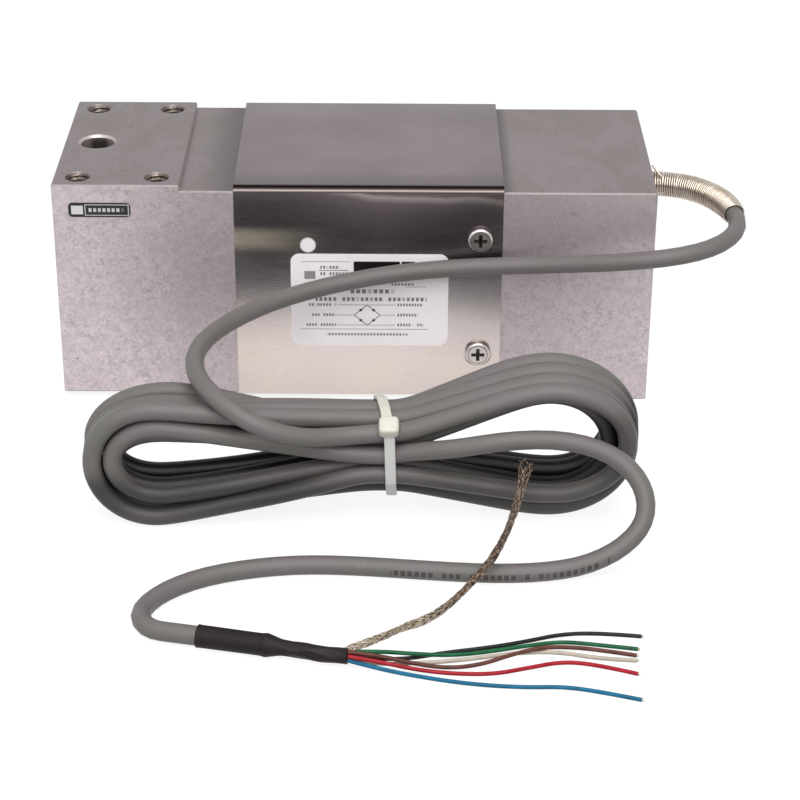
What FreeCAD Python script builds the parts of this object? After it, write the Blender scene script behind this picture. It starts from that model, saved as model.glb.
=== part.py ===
import FreeCAD, Part
import math
import os

# Single point load cell: a machined aluminium beam with a flexure window, a folded cover over the
# gauged section, and a signal cable wound into a hank that stands in front of it.
# Millimetres. +X runs from the loaded end to the cable end, -Y is the labelled side, +Z is up.
# The origin is under the middle of the beam, at the level of its base pad.

V = FreeCAD.Vector
X_AXIS, Y_AXIS, Z_AXIS = V(1, 0, 0), V(0, 1, 0), V(0, 0, 1)

# Beam block and its two bolting pads.
BEAM_LENGTH = 150.0
BEAM_WIDTH = 58.3
BEAM_HEIGHT = 56.0
PAD_LENGTH = 31.75
PAD_RISE = 1.5
EDGE_BREAK = 0.35
FIT = 0.05                      # general clearance between seated pieces

# Tapped holes in the pads and the locating bore in the loaded pad.
BOLT_INSET = 6.0
BOLT_PITCH_X = 19.65
BOLT_PITCH_Y = 47.33
BOLT_HOLE_R = 3.0
BOLT_HOLE_DEPTH = 16.0
BOLT_CHAMFER = 0.28
LOCATING_INSET = 8.3
LOCATING_R = 4.25
LOCATING_DEPTH = 24.0
LOCATING_CHAMFER = 0.6
DRILL_POINT_DEG = 118.0

# Flexure window: a rounded slot with a bulge in each corner that thins the beam under each gauge.
WINDOW_LENGTH = 50.0
WINDOW_HEIGHT = 30.0
BULGE_R = 8.0
FLEXURE_THICKNESS = 7.0

# Gauge recesses in the top and bottom faces.
RECESS_HALF_WIDTH = 11.0
RECESS_DEPTH = 1.5
RECESS_CORNER_R = 3.0
RECESS_REACH = 8.0              # beyond the window, over the wiring passage
GAUGE_LENGTH = 9.0
GAUGE_WIDTH = 6.0
GAUGE_THICKNESS = 0.3
POTTING_SIDE_GAP = 0.1

# Wiring bore for the cable, and the passage that joins it to both recesses.
CABLE_BORE_R = 3.5
CABLE_EXIT_Z = 48.2
PASSAGE_R = 1.5
PASSAGE_SETBACK = 5.0           # from the window's end wall
LEAD_BUNDLE_R = 0.9
CORES_R = 1.0

# Folded cover.
SHEET = 0.6
COVER_LEFT = -30.0
COVER_RIGHT = 36.9
COVER_TOP_GAP = 1.0
COVER_BEND_R = 1.6              # outside radius

# Cover screws and their pressed seats.
SCREW_SETBACK = 5.6             # from the cover's fixed edge
SCREW_SPREAD = 31.6
SCREW_HEAD_R = 3.2
SCREW_HEAD_HEIGHT = 1.75
SCREW_HEAD_ROUND = 0.7
SCREW_SHANK_R = 1.5
SCREW_LENGTH = 7.0
CROSS_WIDTH = 0.85
CROSS_REACH = 3.3
CROSS_DEPTH = 0.9
SEAT_R = 3.7
SEAT_DEPTH = 0.35

# Labels.
LABEL_THICKNESS = 0.12
RATING_LENGTH, RATING_HEIGHT, RATING_CORNER = 39.6, 25.4, 2.2
RATING_MID_X, RATING_MID_Z = 3.7, 28.4
STICKER_R = 2.0
STICKER_X, STICKER_Z = -11.7, 43.5
TAG_LENGTH, TAG_HEIGHT, TAG_CORNER = 15.4, 3.8, 1.1
TAG_MID_X, TAG_MID_Z = -63.3, 52.4

# Terminal board in the window.
BOARD_THICKNESS = 1.6
BOARD_WIDTH = 40.0
BOARD_HEIGHT = 23.0
BOARD_SCREW_SPREAD = 30.0
BOARD_SCREW_R = 1.0
BOARD_SCREW_LENGTH = 5.0
BOARD_SCREW_HEAD_R = 1.9
BOARD_SCREW_HEAD = 1.2
RESISTOR_R = 1.1
RESISTOR_LENGTH = 6.0
RESISTOR_PITCH = 8.0

# Cable, spring sleeve, hank, tie and cable end.
CABLE_D = 4.4
SPRING_WIRE = 0.55
SPRING_FIT = 0.55
SPRING_SEAT = 7.0               # length inside the bore
BUSH_LENGTH = 7.0
HANK_LAYERS = 4
HANK_ROWS = 4
HANK_FRONT_Y = -94.9
HANK_LEFT_X, HANK_LEFT_R = -45.9, 16.2
HANK_RIGHT_X, HANK_RIGHT_R = 46.8, 19.2
WAIST_X = 8.0
WAIST_LENGTH = 5.0
WAIST_MID_Z = 18.0
LEFT_EYE_SETBACK = 30.0         # from the tie to the tip of each eye
RIGHT_EYE_SETBACK = 12.0
TIE_WIDTH = 2.6
TIE_THICKNESS = 1.1
TIE_HEAD = 4.8
TIE_HEAD_DEPTH = 3.2
SLEEVE_START = V(-31.9, -143.5, 2.65)
SLEEVE_YAW_DEG = -12.9
SLEEVE_LENGTH = 33.1
SLEEVE_WALL = 0.2
SLEEVE_RIDGE_AT = 16.2
SLEEVE_RIDGE_R = 2.6
SLEEVE_NECK_AT = 21.0
SLEEVE_END_R = 1.65
SLEEVE_OVERLAP = 5.0
WIRE_D = 0.95
BRAID_D = 1.8

# Free cord routes: points chosen by hand, rounded by tangent arcs.
LEAD_ROUTE = [
    (75.0, 0.0, 48.2), (82.5, 0.0, 48.2), (91.0, -7.0, 48.4), (96.0, -17.0, 47.9),
    (96.0, -28.0, 47.3), (89.5, -36.8, 46.6), (79.0, -40.9, 45.6), (64.5, -39.4, 43.4),
    (46.5, -33.4, 40.0), (27.0, -32.4, 38.9), (7.0, -32.7, 36.9), (-10.5, -37.4, 34.9),
    (-22.5, -45.2, 34.1), (-31.5, -56.2, 34.0), (-36.6, -69.5, 34.8), (-36.6, -82.5, 35.2),
    (-31.8, -93.6, 34.8), (-23.2, -99.4, 30.8), (-12.6, -98.9, 26.4), (-3.0, -93.6, 24.0),
]
TAIL_ROUTE = [
    (13.0, -93.4, 20.0), (24.0, -98.0, 23.4), (36.0, -98.8, 26.2), (48.0, -98.4, 26.3),
    (58.0, -99.3, 24.0), (64.6, -102.0, 20.0), (67.4, -106.0, 15.2), (66.4, -110.0, 10.5),
    (61.2, -113.3, 6.3), (53.0, -115.7, 3.3), (43.0, -116.9, 2.25), (31.0, -117.3, 2.2),
    (17.0, -116.0, 2.2), (3.0, -114.3, 2.2), (-10.5, -113.7, 2.2), (-22.5, -115.6, 2.2),
    (-33.6, -119.6, 2.2), (-41.8, -126.2, 2.2), (-45.8, -134.2, 2.25), (-43.0, -140.8, 2.4),
    (-35.8, -142.607, 2.65), (-27.03, -144.616, 2.65),
]
WIRE_ROUTES = {
    "black": [(0.4, -150.02, 2.14), (7.0, -149.9, 1.2), (13.5, -148.6, 0.5), (20.5, -146.4, 0.5),
              (30.0, -144.4, 0.5), (38.0, -142.1, 0.5), (46.5, -138.9, 0.5), (55.0, -138.5, 0.5),
              (63.7, -139.7, 0.5)],
    "green": [(0.4, -150.02, 3.16), (7.0, -149.0, 2.6), (14.0, -148.5, 1.7), (22.0, -147.7, 0.7),
              (30.0, -146.0, 0.5), (38.0, -143.7, 0.5), (46.0, -141.8, 0.5), (54.0, -143.0, 0.5),
              (62.5, -144.6, 0.5)],
    "brown": [(0.4, -150.9, 3.67), (7.0, -150.7, 2.7), (14.5, -151.6, 1.2), (22.0, -152.2, 0.5),
              (29.0, -151.0, 0.8), (35.0, -148.6, 1.6), (41.5, -145.7, 1.6), (48.5, -144.1, 0.6),
              (55.0, -145.2, 0.5), (62.0, -147.0, 0.5)],
    "white": [(0.4, -150.9, 1.63), (7.0, -151.1, 0.7), (14.5, -150.3, 0.5), (22.0, -149.5, 0.5),
              (30.0, -147.8, 0.5), (38.0, -145.9, 0.5), (46.0, -145.9, 0.5), (54.0, -148.3, 0.5),
              (61.8, -148.9, 0.5)],
    "red": [(0.4, -151.78, 3.16), (7.0, -152.1, 2.1), (14.5, -153.2, 0.9), (22.0, -154.1, 0.5),
            (31.0, -154.3, 0.5), (38.5, -151.9, 0.5), (46.0, -149.4, 0.5), (53.5, -150.6, 0.5),
            (61.7, -153.9, 0.5)],
    "blue": [(0.4, -151.78, 2.14), (7.0, -153.0, 0.9), (14.0, -154.8, 0.5), (22.0, -157.0, 0.5),
             (30.0, -158.4, 0.5), (38.0, -159.0, 0.5), (46.0, -158.7, 0.5), (54.0, -160.7, 0.5),
             (61.6, -163.3, 0.5)],
}
BRAID_ROUTE = [
    (1.2, -149.0, 4.5), (7.2, -145.9, 4.3), (12.2, -141.4, 3.4), (17.4, -137.2, 3.0),
    (22.1, -131.4, 3.8), (27.0, -124.6, 6.0), (31.4, -118.2, 8.6), (35.0, -111.8, 11.4),
    (37.8, -104.8, 14.8), (39.2, -100.2, 18.0), (39.9, -97.4, 22.0),
]

# Derived places.
BEAM_BOTTOM = PAD_RISE
BEAM_TOP = PAD_RISE + BEAM_HEIGHT
PAD_TOP = BEAM_TOP + PAD_RISE
BEAM_MID_Z = PAD_RISE + BEAM_HEIGHT / 2
HALF_LENGTH = BEAM_LENGTH / 2
HALF_WIDTH = BEAM_WIDTH / 2
HALF_WINDOW = WINDOW_LENGTH / 2
FLEXURE_MID_X = HALF_WINDOW - BULGE_R
BULGE_OFFSET_Z = BEAM_HEIGHT / 2 - FLEXURE_THICKNESS - BULGE_R
PASSAGE_X = HALF_WINDOW + PASSAGE_SETBACK
COVER_Y = HALF_WIDTH + FIT + SHEET
COVER_TOP = BEAM_TOP + COVER_TOP_GAP + SHEET
SCREW_X = COVER_RIGHT - SCREW_SETBACK
CABLE_R = CABLE_D / 2
SPRING_INNER_R = CABLE_R + SPRING_FIT
HANK_DEPTH = HANK_LAYERS * CABLE_D
HANK_BACK_Y = HANK_FRONT_Y + HANK_DEPTH
WAIST_HALF = HANK_ROWS * CABLE_D / 2


# Small building blocks.

def block(x0, x1, y0, y1, z0, z1):
    """A box between opposite corners."""
    return Part.makeBox(x1 - x0, y1 - y0, z1 - z0, V(x0, y0, z0))


def cylinder(radius, base, axis, length):
    """A cylinder that starts at base and runs along axis."""
    return Part.makeCylinder(radius, length, base, axis)


def fuse_all(shapes):
    """One solid from shapes that touch or overlap."""
    whole = shapes[0].fuse(shapes[1:]) if len(shapes) > 1 else shapes[0]
    whole = whole.removeSplitter()
    return whole.Solids[0] if len(whole.Solids) == 1 else whole


def drilled(radius, depth, chamfer, mouth, inward):
    """The cutter for a blind drilled hole: wall, drill point and a chamfered mouth."""
    point = radius / math.tan(math.radians(DRILL_POINT_DEG / 2))
    outside = 1.0
    wide = radius + chamfer
    profile = [V(0, 0, -outside), V(wide, 0, -outside), V(wide, 0, 0), V(radius, 0, chamfer),
               V(radius, 0, depth), V(0, 0, depth + point), V(0, 0, -outside)]
    cutter = Part.Face(Part.makePolygon(profile)).revolve(V(0, 0, 0), Z_AXIS, 360)
    cutter.Placement = FreeCAD.Placement(mouth, FreeCAD.Rotation(Z_AXIS, inward))
    return cutter


def rounded_plate(length, height, corner, thickness, mid_x, mid_z, back_y):
    """A plate with round corners in the XZ plane, standing out from back_y towards -Y."""
    x0, x1 = mid_x - length / 2, mid_x + length / 2
    z0, z1 = mid_z - height / 2, mid_z + height / 2
    plate = block(x0, x1, back_y - thickness, back_y, z0, z1)
    upright = [e for e in plate.Edges if abs(e.tangentAt(e.FirstParameter).y) > 0.9]
    return plate.makeFillet(corner, upright)


# Beam.

def beam_block():
    """The block with a raised pad over the loaded end and under the fixed end."""
    pad_edge = HALF_LENGTH - PAD_LENGTH
    middle = block(-HALF_LENGTH, HALF_LENGTH, -HALF_WIDTH, HALF_WIDTH, BEAM_BOTTOM, BEAM_TOP)
    loaded = block(-HALF_LENGTH, -pad_edge, -HALF_WIDTH, HALF_WIDTH, BEAM_TOP - 1, PAD_TOP)
    fixed = block(pad_edge, HALF_LENGTH, -HALF_WIDTH, HALF_WIDTH, 0, BEAM_BOTTOM + 1)
    solid = fuse_all([middle, loaded, fixed])
    inner_z = (BEAM_TOP, BEAM_BOTTOM)
    outer = [e for e in solid.Edges
             if not (e.BoundBox.YLength > BEAM_WIDTH - 1 and abs(e.BoundBox.Center.x) < HALF_LENGTH - 1
                     and any(abs(e.BoundBox.Center.z - z) < 0.01 for z in inner_z))]
    return solid.makeChamfer(EDGE_BREAK, outer)


def window_cutter():
    """The flexure window: a rounded slot across the beam with four corner bulges."""
    half_slot = FLEXURE_MID_X + BULGE_R / 2
    deep = HALF_WIDTH + 1
    slot = block(-half_slot, half_slot, -deep, deep,
                 BEAM_MID_Z - WINDOW_HEIGHT / 2, BEAM_MID_Z + WINDOW_HEIGHT / 2)
    end_walls = block(-HALF_WINDOW, HALF_WINDOW, -deep, deep,
                      BEAM_MID_Z - BULGE_OFFSET_Z, BEAM_MID_Z + BULGE_OFFSET_Z)
    bulges = [cylinder(BULGE_R, V(side * FLEXURE_MID_X, -deep, BEAM_MID_Z + up * BULGE_OFFSET_Z),
                       Y_AXIS, 2 * deep)
              for side in (-1, 1) for up in (-1, 1)]
    return fuse_all([slot, end_walls] + bulges)


def recess_block(low_z, high_z, margin=0.0):
    """The round-cornered volume of a gauge recess between two levels, less a side margin."""
    x0, x1 = -HALF_WINDOW + margin, HALF_WINDOW + RECESS_REACH - margin
    y1 = RECESS_HALF_WIDTH - margin
    solid = block(x0, x1, -y1, y1, low_z, high_z)
    upright = [e for e in solid.Edges if abs(e.tangentAt(e.FirstParameter).z) > 0.9]
    return solid.makeFillet(RECESS_CORNER_R - margin, upright)


def bolt_places(side):
    """The four hole centres of a pad; side is -1 for the loaded end and 1 for the fixed end."""
    outer = HALF_LENGTH - BOLT_INSET
    return [(side * x, y) for x in (outer, outer - BOLT_PITCH_X)
            for y in (-BOLT_PITCH_Y / 2, BOLT_PITCH_Y / 2)]


def screw_places():
    """Middle of each cover screw on a side face, as (name, side, z)."""
    return [(face + "_" + level, side, BEAM_MID_Z + up * SCREW_SPREAD / 2)
            for face, side in (("front", -1), ("back", 1))
            for level, up in (("upper", 1), ("lower", -1))]


def beam():
    """The machined beam with all its holes, recesses and the window."""
    solid = beam_block().cut(window_cutter())
    cutters = [recess_block(BEAM_TOP - RECESS_DEPTH, BEAM_TOP + 1),
               recess_block(BEAM_BOTTOM - 1, BEAM_BOTTOM + RECESS_DEPTH)]
    for x, y in bolt_places(-1):
        cutters.append(drilled(BOLT_HOLE_R, BOLT_HOLE_DEPTH, BOLT_CHAMFER, V(x, y, PAD_TOP), -Z_AXIS))
    for x, y in bolt_places(1):
        cutters.append(drilled(BOLT_HOLE_R, BOLT_HOLE_DEPTH, BOLT_CHAMFER, V(x, y, 0), Z_AXIS))
    cutters.append(drilled(LOCATING_R, LOCATING_DEPTH, LOCATING_CHAMFER,
                           V(-HALF_LENGTH + LOCATING_INSET, 0, PAD_TOP), -Z_AXIS))
    bore_end = FLEXURE_MID_X + 2
    cutters.append(cylinder(CABLE_BORE_R, V(bore_end, 0, CABLE_EXIT_Z), X_AXIS,
                            HALF_LENGTH + 1 - bore_end))
    cutters.append(cylinder(PASSAGE_R, V(PASSAGE_X, 0, BEAM_BOTTOM), Z_AXIS, BEAM_HEIGHT))
    for _, side, z in screw_places():
        face = V(SCREW_X, side * HALF_WIDTH, z)
        inward = V(0, -side, 0)
        cutters.append(cylinder(SEAT_R + SHEET, face - inward, inward, 1 + SEAT_DEPTH + FIT))
        cutters.append(cylinder(SCREW_SHANK_R + FIT, face, inward, SCREW_LENGTH + 1))
    for y in (-BOARD_SCREW_SPREAD / 2, BOARD_SCREW_SPREAD / 2):
        cutters.append(cylinder(BOARD_SCREW_R + FIT, V(HALF_WINDOW - 1, y, BEAM_MID_Z), X_AXIS,
                                BOARD_SCREW_LENGTH + 1))
    return solid.cut(cutters)


# Cover.

def cover():
    """A sheet folded down both sides of the beam, with a pressed seat for each screw."""
    inner_y = COVER_Y - SHEET
    outer = block(COVER_LEFT, COVER_RIGHT, -COVER_Y, COVER_Y, BEAM_BOTTOM, COVER_TOP)
    inner = block(COVER_LEFT - 1, COVER_RIGHT + 1, -inner_y, inner_y, BEAM_BOTTOM - 1,
                  COVER_TOP - SHEET)

    def bends(shape, level):
        return [e for e in shape.Edges
                if e.BoundBox.XLength > 1 and abs(e.BoundBox.Center.z - level) < 0.01]

    outer = outer.makeFillet(COVER_BEND_R, bends(outer, COVER_TOP))
    inner = inner.makeFillet(COVER_BEND_R - SHEET, bends(inner, COVER_TOP - SHEET))
    sheet = outer.cut(inner)
    pressed, cutters = [], []
    for _, side, z in screw_places():
        inward = V(0, -side, 0)
        outside = V(SCREW_X, side * COVER_Y, z)
        pressed.append(cylinder(SEAT_R + SHEET / 2, outside, inward, SHEET + SEAT_DEPTH))
        cutters.append(cylinder(SEAT_R, outside - inward, inward, 1 + SEAT_DEPTH))
        cutters.append(cylinder(SCREW_SHANK_R + 3 * FIT, outside, inward, 3))
    return fuse_all([sheet] + pressed).cut(cutters)


def cover_screw(side, z):
    """A pan head screw with a cross recess, seated in the cover's pressed seat."""
    inward = V(0, -side, 0)
    seat = V(SCREW_X, side * (COVER_Y - SEAT_DEPTH), z)
    top = seat - inward * SCREW_HEAD_HEIGHT
    head = cylinder(SCREW_HEAD_R, top, inward, SCREW_HEAD_HEIGHT)
    rim = [e for e in head.Edges if abs(e.BoundBox.Center.y - top.y) < 0.01
           and e.BoundBox.XLength > SCREW_HEAD_R]
    head = head.makeFillet(SCREW_HEAD_ROUND, rim)
    shank = cylinder(SCREW_SHANK_R, seat - inward * 0.5, inward, SCREW_LENGTH + 0.5)
    arm, half = CROSS_REACH / 2, CROSS_WIDTH / 2
    y0, y1 = sorted((top.y, top.y - side * CROSS_DEPTH))
    cross = [block(top.x - a, top.x + a, y0, y1, z - b, z + b) for a, b in ((arm, half), (half, arm))]
    return fuse_all([head, shank]).cut(cross)


# Gauges, potting and wiring inside.

def gauge(side, up):
    """A foil gauge bonded over the flexure at one corner of the window."""
    floor_z = BEAM_MID_Z + up * (BEAM_HEIGHT / 2 - RECESS_DEPTH)
    z0, z1 = sorted((floor_z, floor_z + up * GAUGE_THICKNESS))
    x = side * FLEXURE_MID_X
    return block(x - GAUGE_LENGTH / 2, x + GAUGE_LENGTH / 2, -GAUGE_WIDTH / 2, GAUGE_WIDTH / 2, z0, z1)


def potting(up, inner_pieces):
    """The sealant that fills a recess over its gauges, up to just below the face."""
    floor_z = BEAM_MID_Z + up * (BEAM_HEIGHT / 2 - RECESS_DEPTH)
    face_z = BEAM_MID_Z + up * (BEAM_HEIGHT / 2 - FIT)
    low, high = sorted((floor_z, face_z))
    return recess_block(low, high, POTTING_SIDE_GAP).cut(inner_pieces)


def lead_bundle(up):
    """The gauge leads in the passage between a recess and the cable bore."""
    recess_z = BEAM_MID_Z + up * (BEAM_HEIGHT / 2 - RECESS_DEPTH / 2)
    bore_z = CABLE_EXIT_Z + up * (CORES_R + FIT)
    low, high = sorted((recess_z, bore_z))
    return cylinder(LEAD_BUNDLE_R, V(PASSAGE_X, 0, low), Z_AXIS, high - low)


def board_face_x():
    """The side of the terminal board that looks into the window."""
    return HALF_WINDOW - FIT - BOARD_THICKNESS


def terminal_board():
    """The board screwed to the window's end wall."""
    x0 = board_face_x()
    plate = block(x0, x0 + BOARD_THICKNESS, -BOARD_WIDTH / 2, BOARD_WIDTH / 2,
                  BEAM_MID_Z - BOARD_HEIGHT / 2, BEAM_MID_Z + BOARD_HEIGHT / 2)
    holes = [cylinder(BOARD_SCREW_R + FIT, V(x0 - 1, y, BEAM_MID_Z), X_AXIS, BOARD_THICKNESS + 2)
             for y in (-BOARD_SCREW_SPREAD / 2, BOARD_SCREW_SPREAD / 2)]
    return plate.cut(holes)


def board_screw(side):
    """A small pan head screw that holds the terminal board."""
    face = V(board_face_x(), side * BOARD_SCREW_SPREAD / 2, BEAM_MID_Z)
    head = cylinder(BOARD_SCREW_HEAD_R, face - X_AXIS * BOARD_SCREW_HEAD, X_AXIS, BOARD_SCREW_HEAD)
    return fuse_all([head, cylinder(BOARD_SCREW_R, face, X_AXIS, BOARD_SCREW_LENGTH)])


def resistor(place):
    """A trim resistor that lies on the terminal board; place counts from the middle."""
    start = V(board_face_x() - RESISTOR_R, place * RESISTOR_PITCH, BEAM_MID_Z - RESISTOR_LENGTH / 2)
    return cylinder(RESISTOR_R, start, Z_AXIS, RESISTOR_LENGTH)


def cable_inner():
    """The jacketed cable inside the bore, up to the wiring passage."""
    start = PASSAGE_X + PASSAGE_R + 2
    return cylinder(CABLE_R, V(start, 0, CABLE_EXIT_Z), X_AXIS, HALF_LENGTH - start)


def cable_cores():
    """The stripped cores from the jacket's end down to the terminal board."""
    turn = 4.0
    x_end = board_face_x() - CORES_R - FIT
    start = V(PASSAGE_X + PASSAGE_R + 2, 0, CABLE_EXIT_Z)
    bend_in, bend_out = V(x_end + turn, 0, CABLE_EXIT_Z), V(x_end, 0, CABLE_EXIT_Z - turn)
    slant = turn * math.sqrt(0.5)
    mid = V(x_end + turn - slant, 0, CABLE_EXIT_Z - turn + slant)
    foot = V(x_end, 0, BEAM_MID_Z + BOARD_HEIGHT / 4)
    path = [Part.LineSegment(start, bend_in).toShape(), Part.Arc(bend_in, mid, bend_out).toShape(),
            Part.LineSegment(bend_out, foot).toShape()]
    return tube(path, CORES_R)


def cable_bush():
    """The rubber bush that centres the cable in its bore, behind the spring."""
    start = V(HALF_LENGTH - SPRING_SEAT - BUSH_LENGTH - FIT, 0, CABLE_EXIT_Z)
    outer = cylinder(CABLE_BORE_R - FIT, start, X_AXIS, BUSH_LENGTH)
    return outer.cut(cylinder(CABLE_R + FIT, start - X_AXIS, X_AXIS, BUSH_LENGTH + 2))


# Cords.

def route_edges(points, label):
    """Straight runs joined by tangent arcs. An arc takes 0.45 of the shorter run beside it."""
    pts = [V(*p) for p in points]
    edges, radii, start = [], [], pts[0]
    for before, corner, after in zip(pts, pts[1:], pts[2:]):
        back, ahead = before - corner, after - corner
        reach = 0.45 * min(back.Length, ahead.Length)
        half_turn = (math.pi - back.getAngle(ahead)) / 2
        radius = reach / math.tan(half_turn)
        back.normalize()
        ahead.normalize()
        inside = back + ahead
        inside.normalize()
        depth = radius / math.cos(half_turn) - radius
        enter, leave = corner + back * reach, corner + ahead * reach
        edges.append(Part.LineSegment(start, enter).toShape())
        edges.append(Part.Arc(enter, corner + inside * depth, leave).toShape())
        radii.append(radius)
        start = leave
    edges.append(Part.LineSegment(start, pts[-1]).toShape())
    print(label, "length %.1f" % sum(e.Length for e in edges), "smallest radius %.1f" % min(radii))
    return edges


def tube(edges, radius):
    """A round tube along edges that join end to end."""
    path = Part.Wire(edges)
    first = edges[0]
    start, direction = first.valueAt(first.FirstParameter), first.tangentAt(first.FirstParameter)
    section = Part.Wire([Part.makeCircle(radius, start, direction)])
    solid = Part.Solid(path.makePipeShell([section], True, False))
    ideal = math.pi * radius ** 2 * sum(e.Length for e in edges)
    if abs(solid.Volume - ideal) > 0.02 * ideal:
        print("tube volume %.1f against %.1f" % (solid.Volume, ideal))
    return solid


def spring_sleeve(lead_edges):
    """The close-wound spring round the cable's first bend, as a plain bent sleeve."""
    mouth = V(*LEAD_ROUTE[0])
    inside = Part.LineSegment(mouth - X_AXIS * SPRING_SEAT, mouth).toShape()
    path = [inside] + lead_edges[:6]
    return tube(path, SPRING_INNER_R + SPRING_WIRE).cut(tube(path, SPRING_INNER_R))


def lobe(mid_x, mid_z, radius, tip_x, tip_half):
    """A lobe in the XZ plane: a round end, and two straight sides that run to the tip."""
    centre, tip = V(mid_x, 0, mid_z), V(tip_x, 0, WAIST_MID_Z)
    side = 1 if tip_x > mid_x else -1
    ends, touches = [], []
    for up in (1, -1):
        end = tip + Z_AXIS * (up * tip_half)
        line = end - centre
        angle = math.atan2(line.z, line.x) + side * up * math.acos(radius / line.Length)
        ends.append(end)
        touches.append(centre + V(math.cos(angle), 0, math.sin(angle)) * radius)
    far = centre - X_AXIS * (side * radius)
    edges = [Part.LineSegment(ends[0], touches[0]).toShape(),
             Part.Arc(touches[0], far, touches[1]).toShape(),
             Part.LineSegment(touches[1], ends[1]).toShape()]
    if tip_half:
        edges.append(Part.LineSegment(ends[1], ends[0]).toShape())
    return Part.Face(Part.Wire(edges))


def slab(face, front_y, depth):
    """A face in the XZ plane made as deep as the hank."""
    solid = face.extrude(Y_AXIS * depth)
    solid.translate(Y_AXIS * front_y)
    return solid


def cable_hank():
    """The outer shape of the tied hank: two lobes, each with an eye, and a parallel waist."""
    half_waist = WAIST_LENGTH / 2
    waist = block(WAIST_X - half_waist, WAIST_X + half_waist, HANK_FRONT_Y, HANK_BACK_Y,
                  WAIST_MID_Z - WAIST_HALF, WAIST_MID_Z + WAIST_HALF)
    pieces, eyes = [waist], []
    for mid_x, radius, side, setback in ((HANK_LEFT_X, HANK_LEFT_R, -1, LEFT_EYE_SETBACK),
                                         (HANK_RIGHT_X, HANK_RIGHT_R, 1, RIGHT_EYE_SETBACK)):
        outer = lobe(mid_x, radius, radius, WAIST_X + side * half_waist, WAIST_HALF)
        eye = lobe(mid_x, radius, radius - 2 * CABLE_D, WAIST_X + side * setback, 0)
        pieces.append(slab(outer, HANK_FRONT_Y, HANK_DEPTH))
        eyes.append(slab(eye, HANK_FRONT_Y - 1, HANK_DEPTH + 2))
    solid = fuse_all(pieces).cut(eyes).Solids[0]
    faces_y = (HANK_FRONT_Y, HANK_BACK_Y)
    rims = [e for e in solid.Edges
            if e.BoundBox.YLength < 0.01 and any(abs(e.BoundBox.Center.y - y) < 0.01 for y in faces_y)]
    return solid.makeChamfer(CABLE_R - FIT, rims)


def cable_tie(hank):
    """A strap round the hank's waist, with its square head on the front upper corner."""
    depth_mid = (HANK_FRONT_Y + HANK_BACK_Y) / 2
    x0 = WAIST_X - TIE_WIDTH / 2

    def ring_block(margin, corner):
        half_y, half_z = HANK_DEPTH / 2 + margin, WAIST_HALF + margin
        solid = block(x0, x0 + TIE_WIDTH, depth_mid - half_y, depth_mid + half_y,
                      WAIST_MID_Z - half_z, WAIST_MID_Z + half_z)
        along = [e for e in solid.Edges if abs(e.tangentAt(e.FirstParameter).x) > 0.9]
        return solid.makeFillet(corner, along)

    strap = ring_block(FIT + TIE_THICKNESS, CABLE_R + TIE_THICKNESS)
    strap = strap.cut(ring_block(FIT, CABLE_R))
    corner = V(WAIST_X, HANK_FRONT_Y + CABLE_R, WAIST_MID_Z + WAIST_HALF - CABLE_R)
    inner = CABLE_R + TIE_THICKNESS / 2
    head = Part.makeBox(TIE_HEAD, TIE_HEAD, TIE_HEAD_DEPTH + TIE_THICKNESS / 2,
                        V(-TIE_HEAD / 2, -TIE_HEAD / 2, inner))
    head = head.makeFillet(0.6, [e for e in head.Edges if abs(e.tangentAt(e.FirstParameter).z) > 0.9])
    head.Placement = FreeCAD.Placement(corner, FreeCAD.Rotation(X_AXIS, 45))
    return fuse_all([strap, head.cut(hank)])


def end_sleeve():
    """The shrunk sleeve: wide over the jacket, a ridge, and a narrow neck over the cores."""
    wide = CABLE_R + FIT + SLEEVE_WALL
    profile = [V(0, 0, 0), V(wide, 0, 0), V(wide, 0, SLEEVE_RIDGE_AT - 1.5),
               V(SLEEVE_RIDGE_R, 0, SLEEVE_RIDGE_AT), V(wide - 0.1, 0, SLEEVE_RIDGE_AT + 1.5),
               V(SLEEVE_END_R, 0, SLEEVE_NECK_AT), V(SLEEVE_END_R, 0, SLEEVE_LENGTH),
               V(0, 0, SLEEVE_LENGTH), V(0, 0, 0)]
    solid = Part.Face(Part.makePolygon(profile)).revolve(V(0, 0, 0), Z_AXIS, 360)
    mouth = cylinder(CABLE_R + FIT, V(0, 0, -1), Z_AXIS, SLEEVE_OVERLAP + 1 + FIT)
    solid = Part.Solid(solid.Solids[0]).cut(mouth)
    yaw = math.radians(SLEEVE_YAW_DEG)
    along = V(math.cos(yaw), math.sin(yaw), 0)
    solid.Placement = FreeCAD.Placement(SLEEVE_START, FreeCAD.Rotation(Z_AXIS, along))
    return solid


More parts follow.
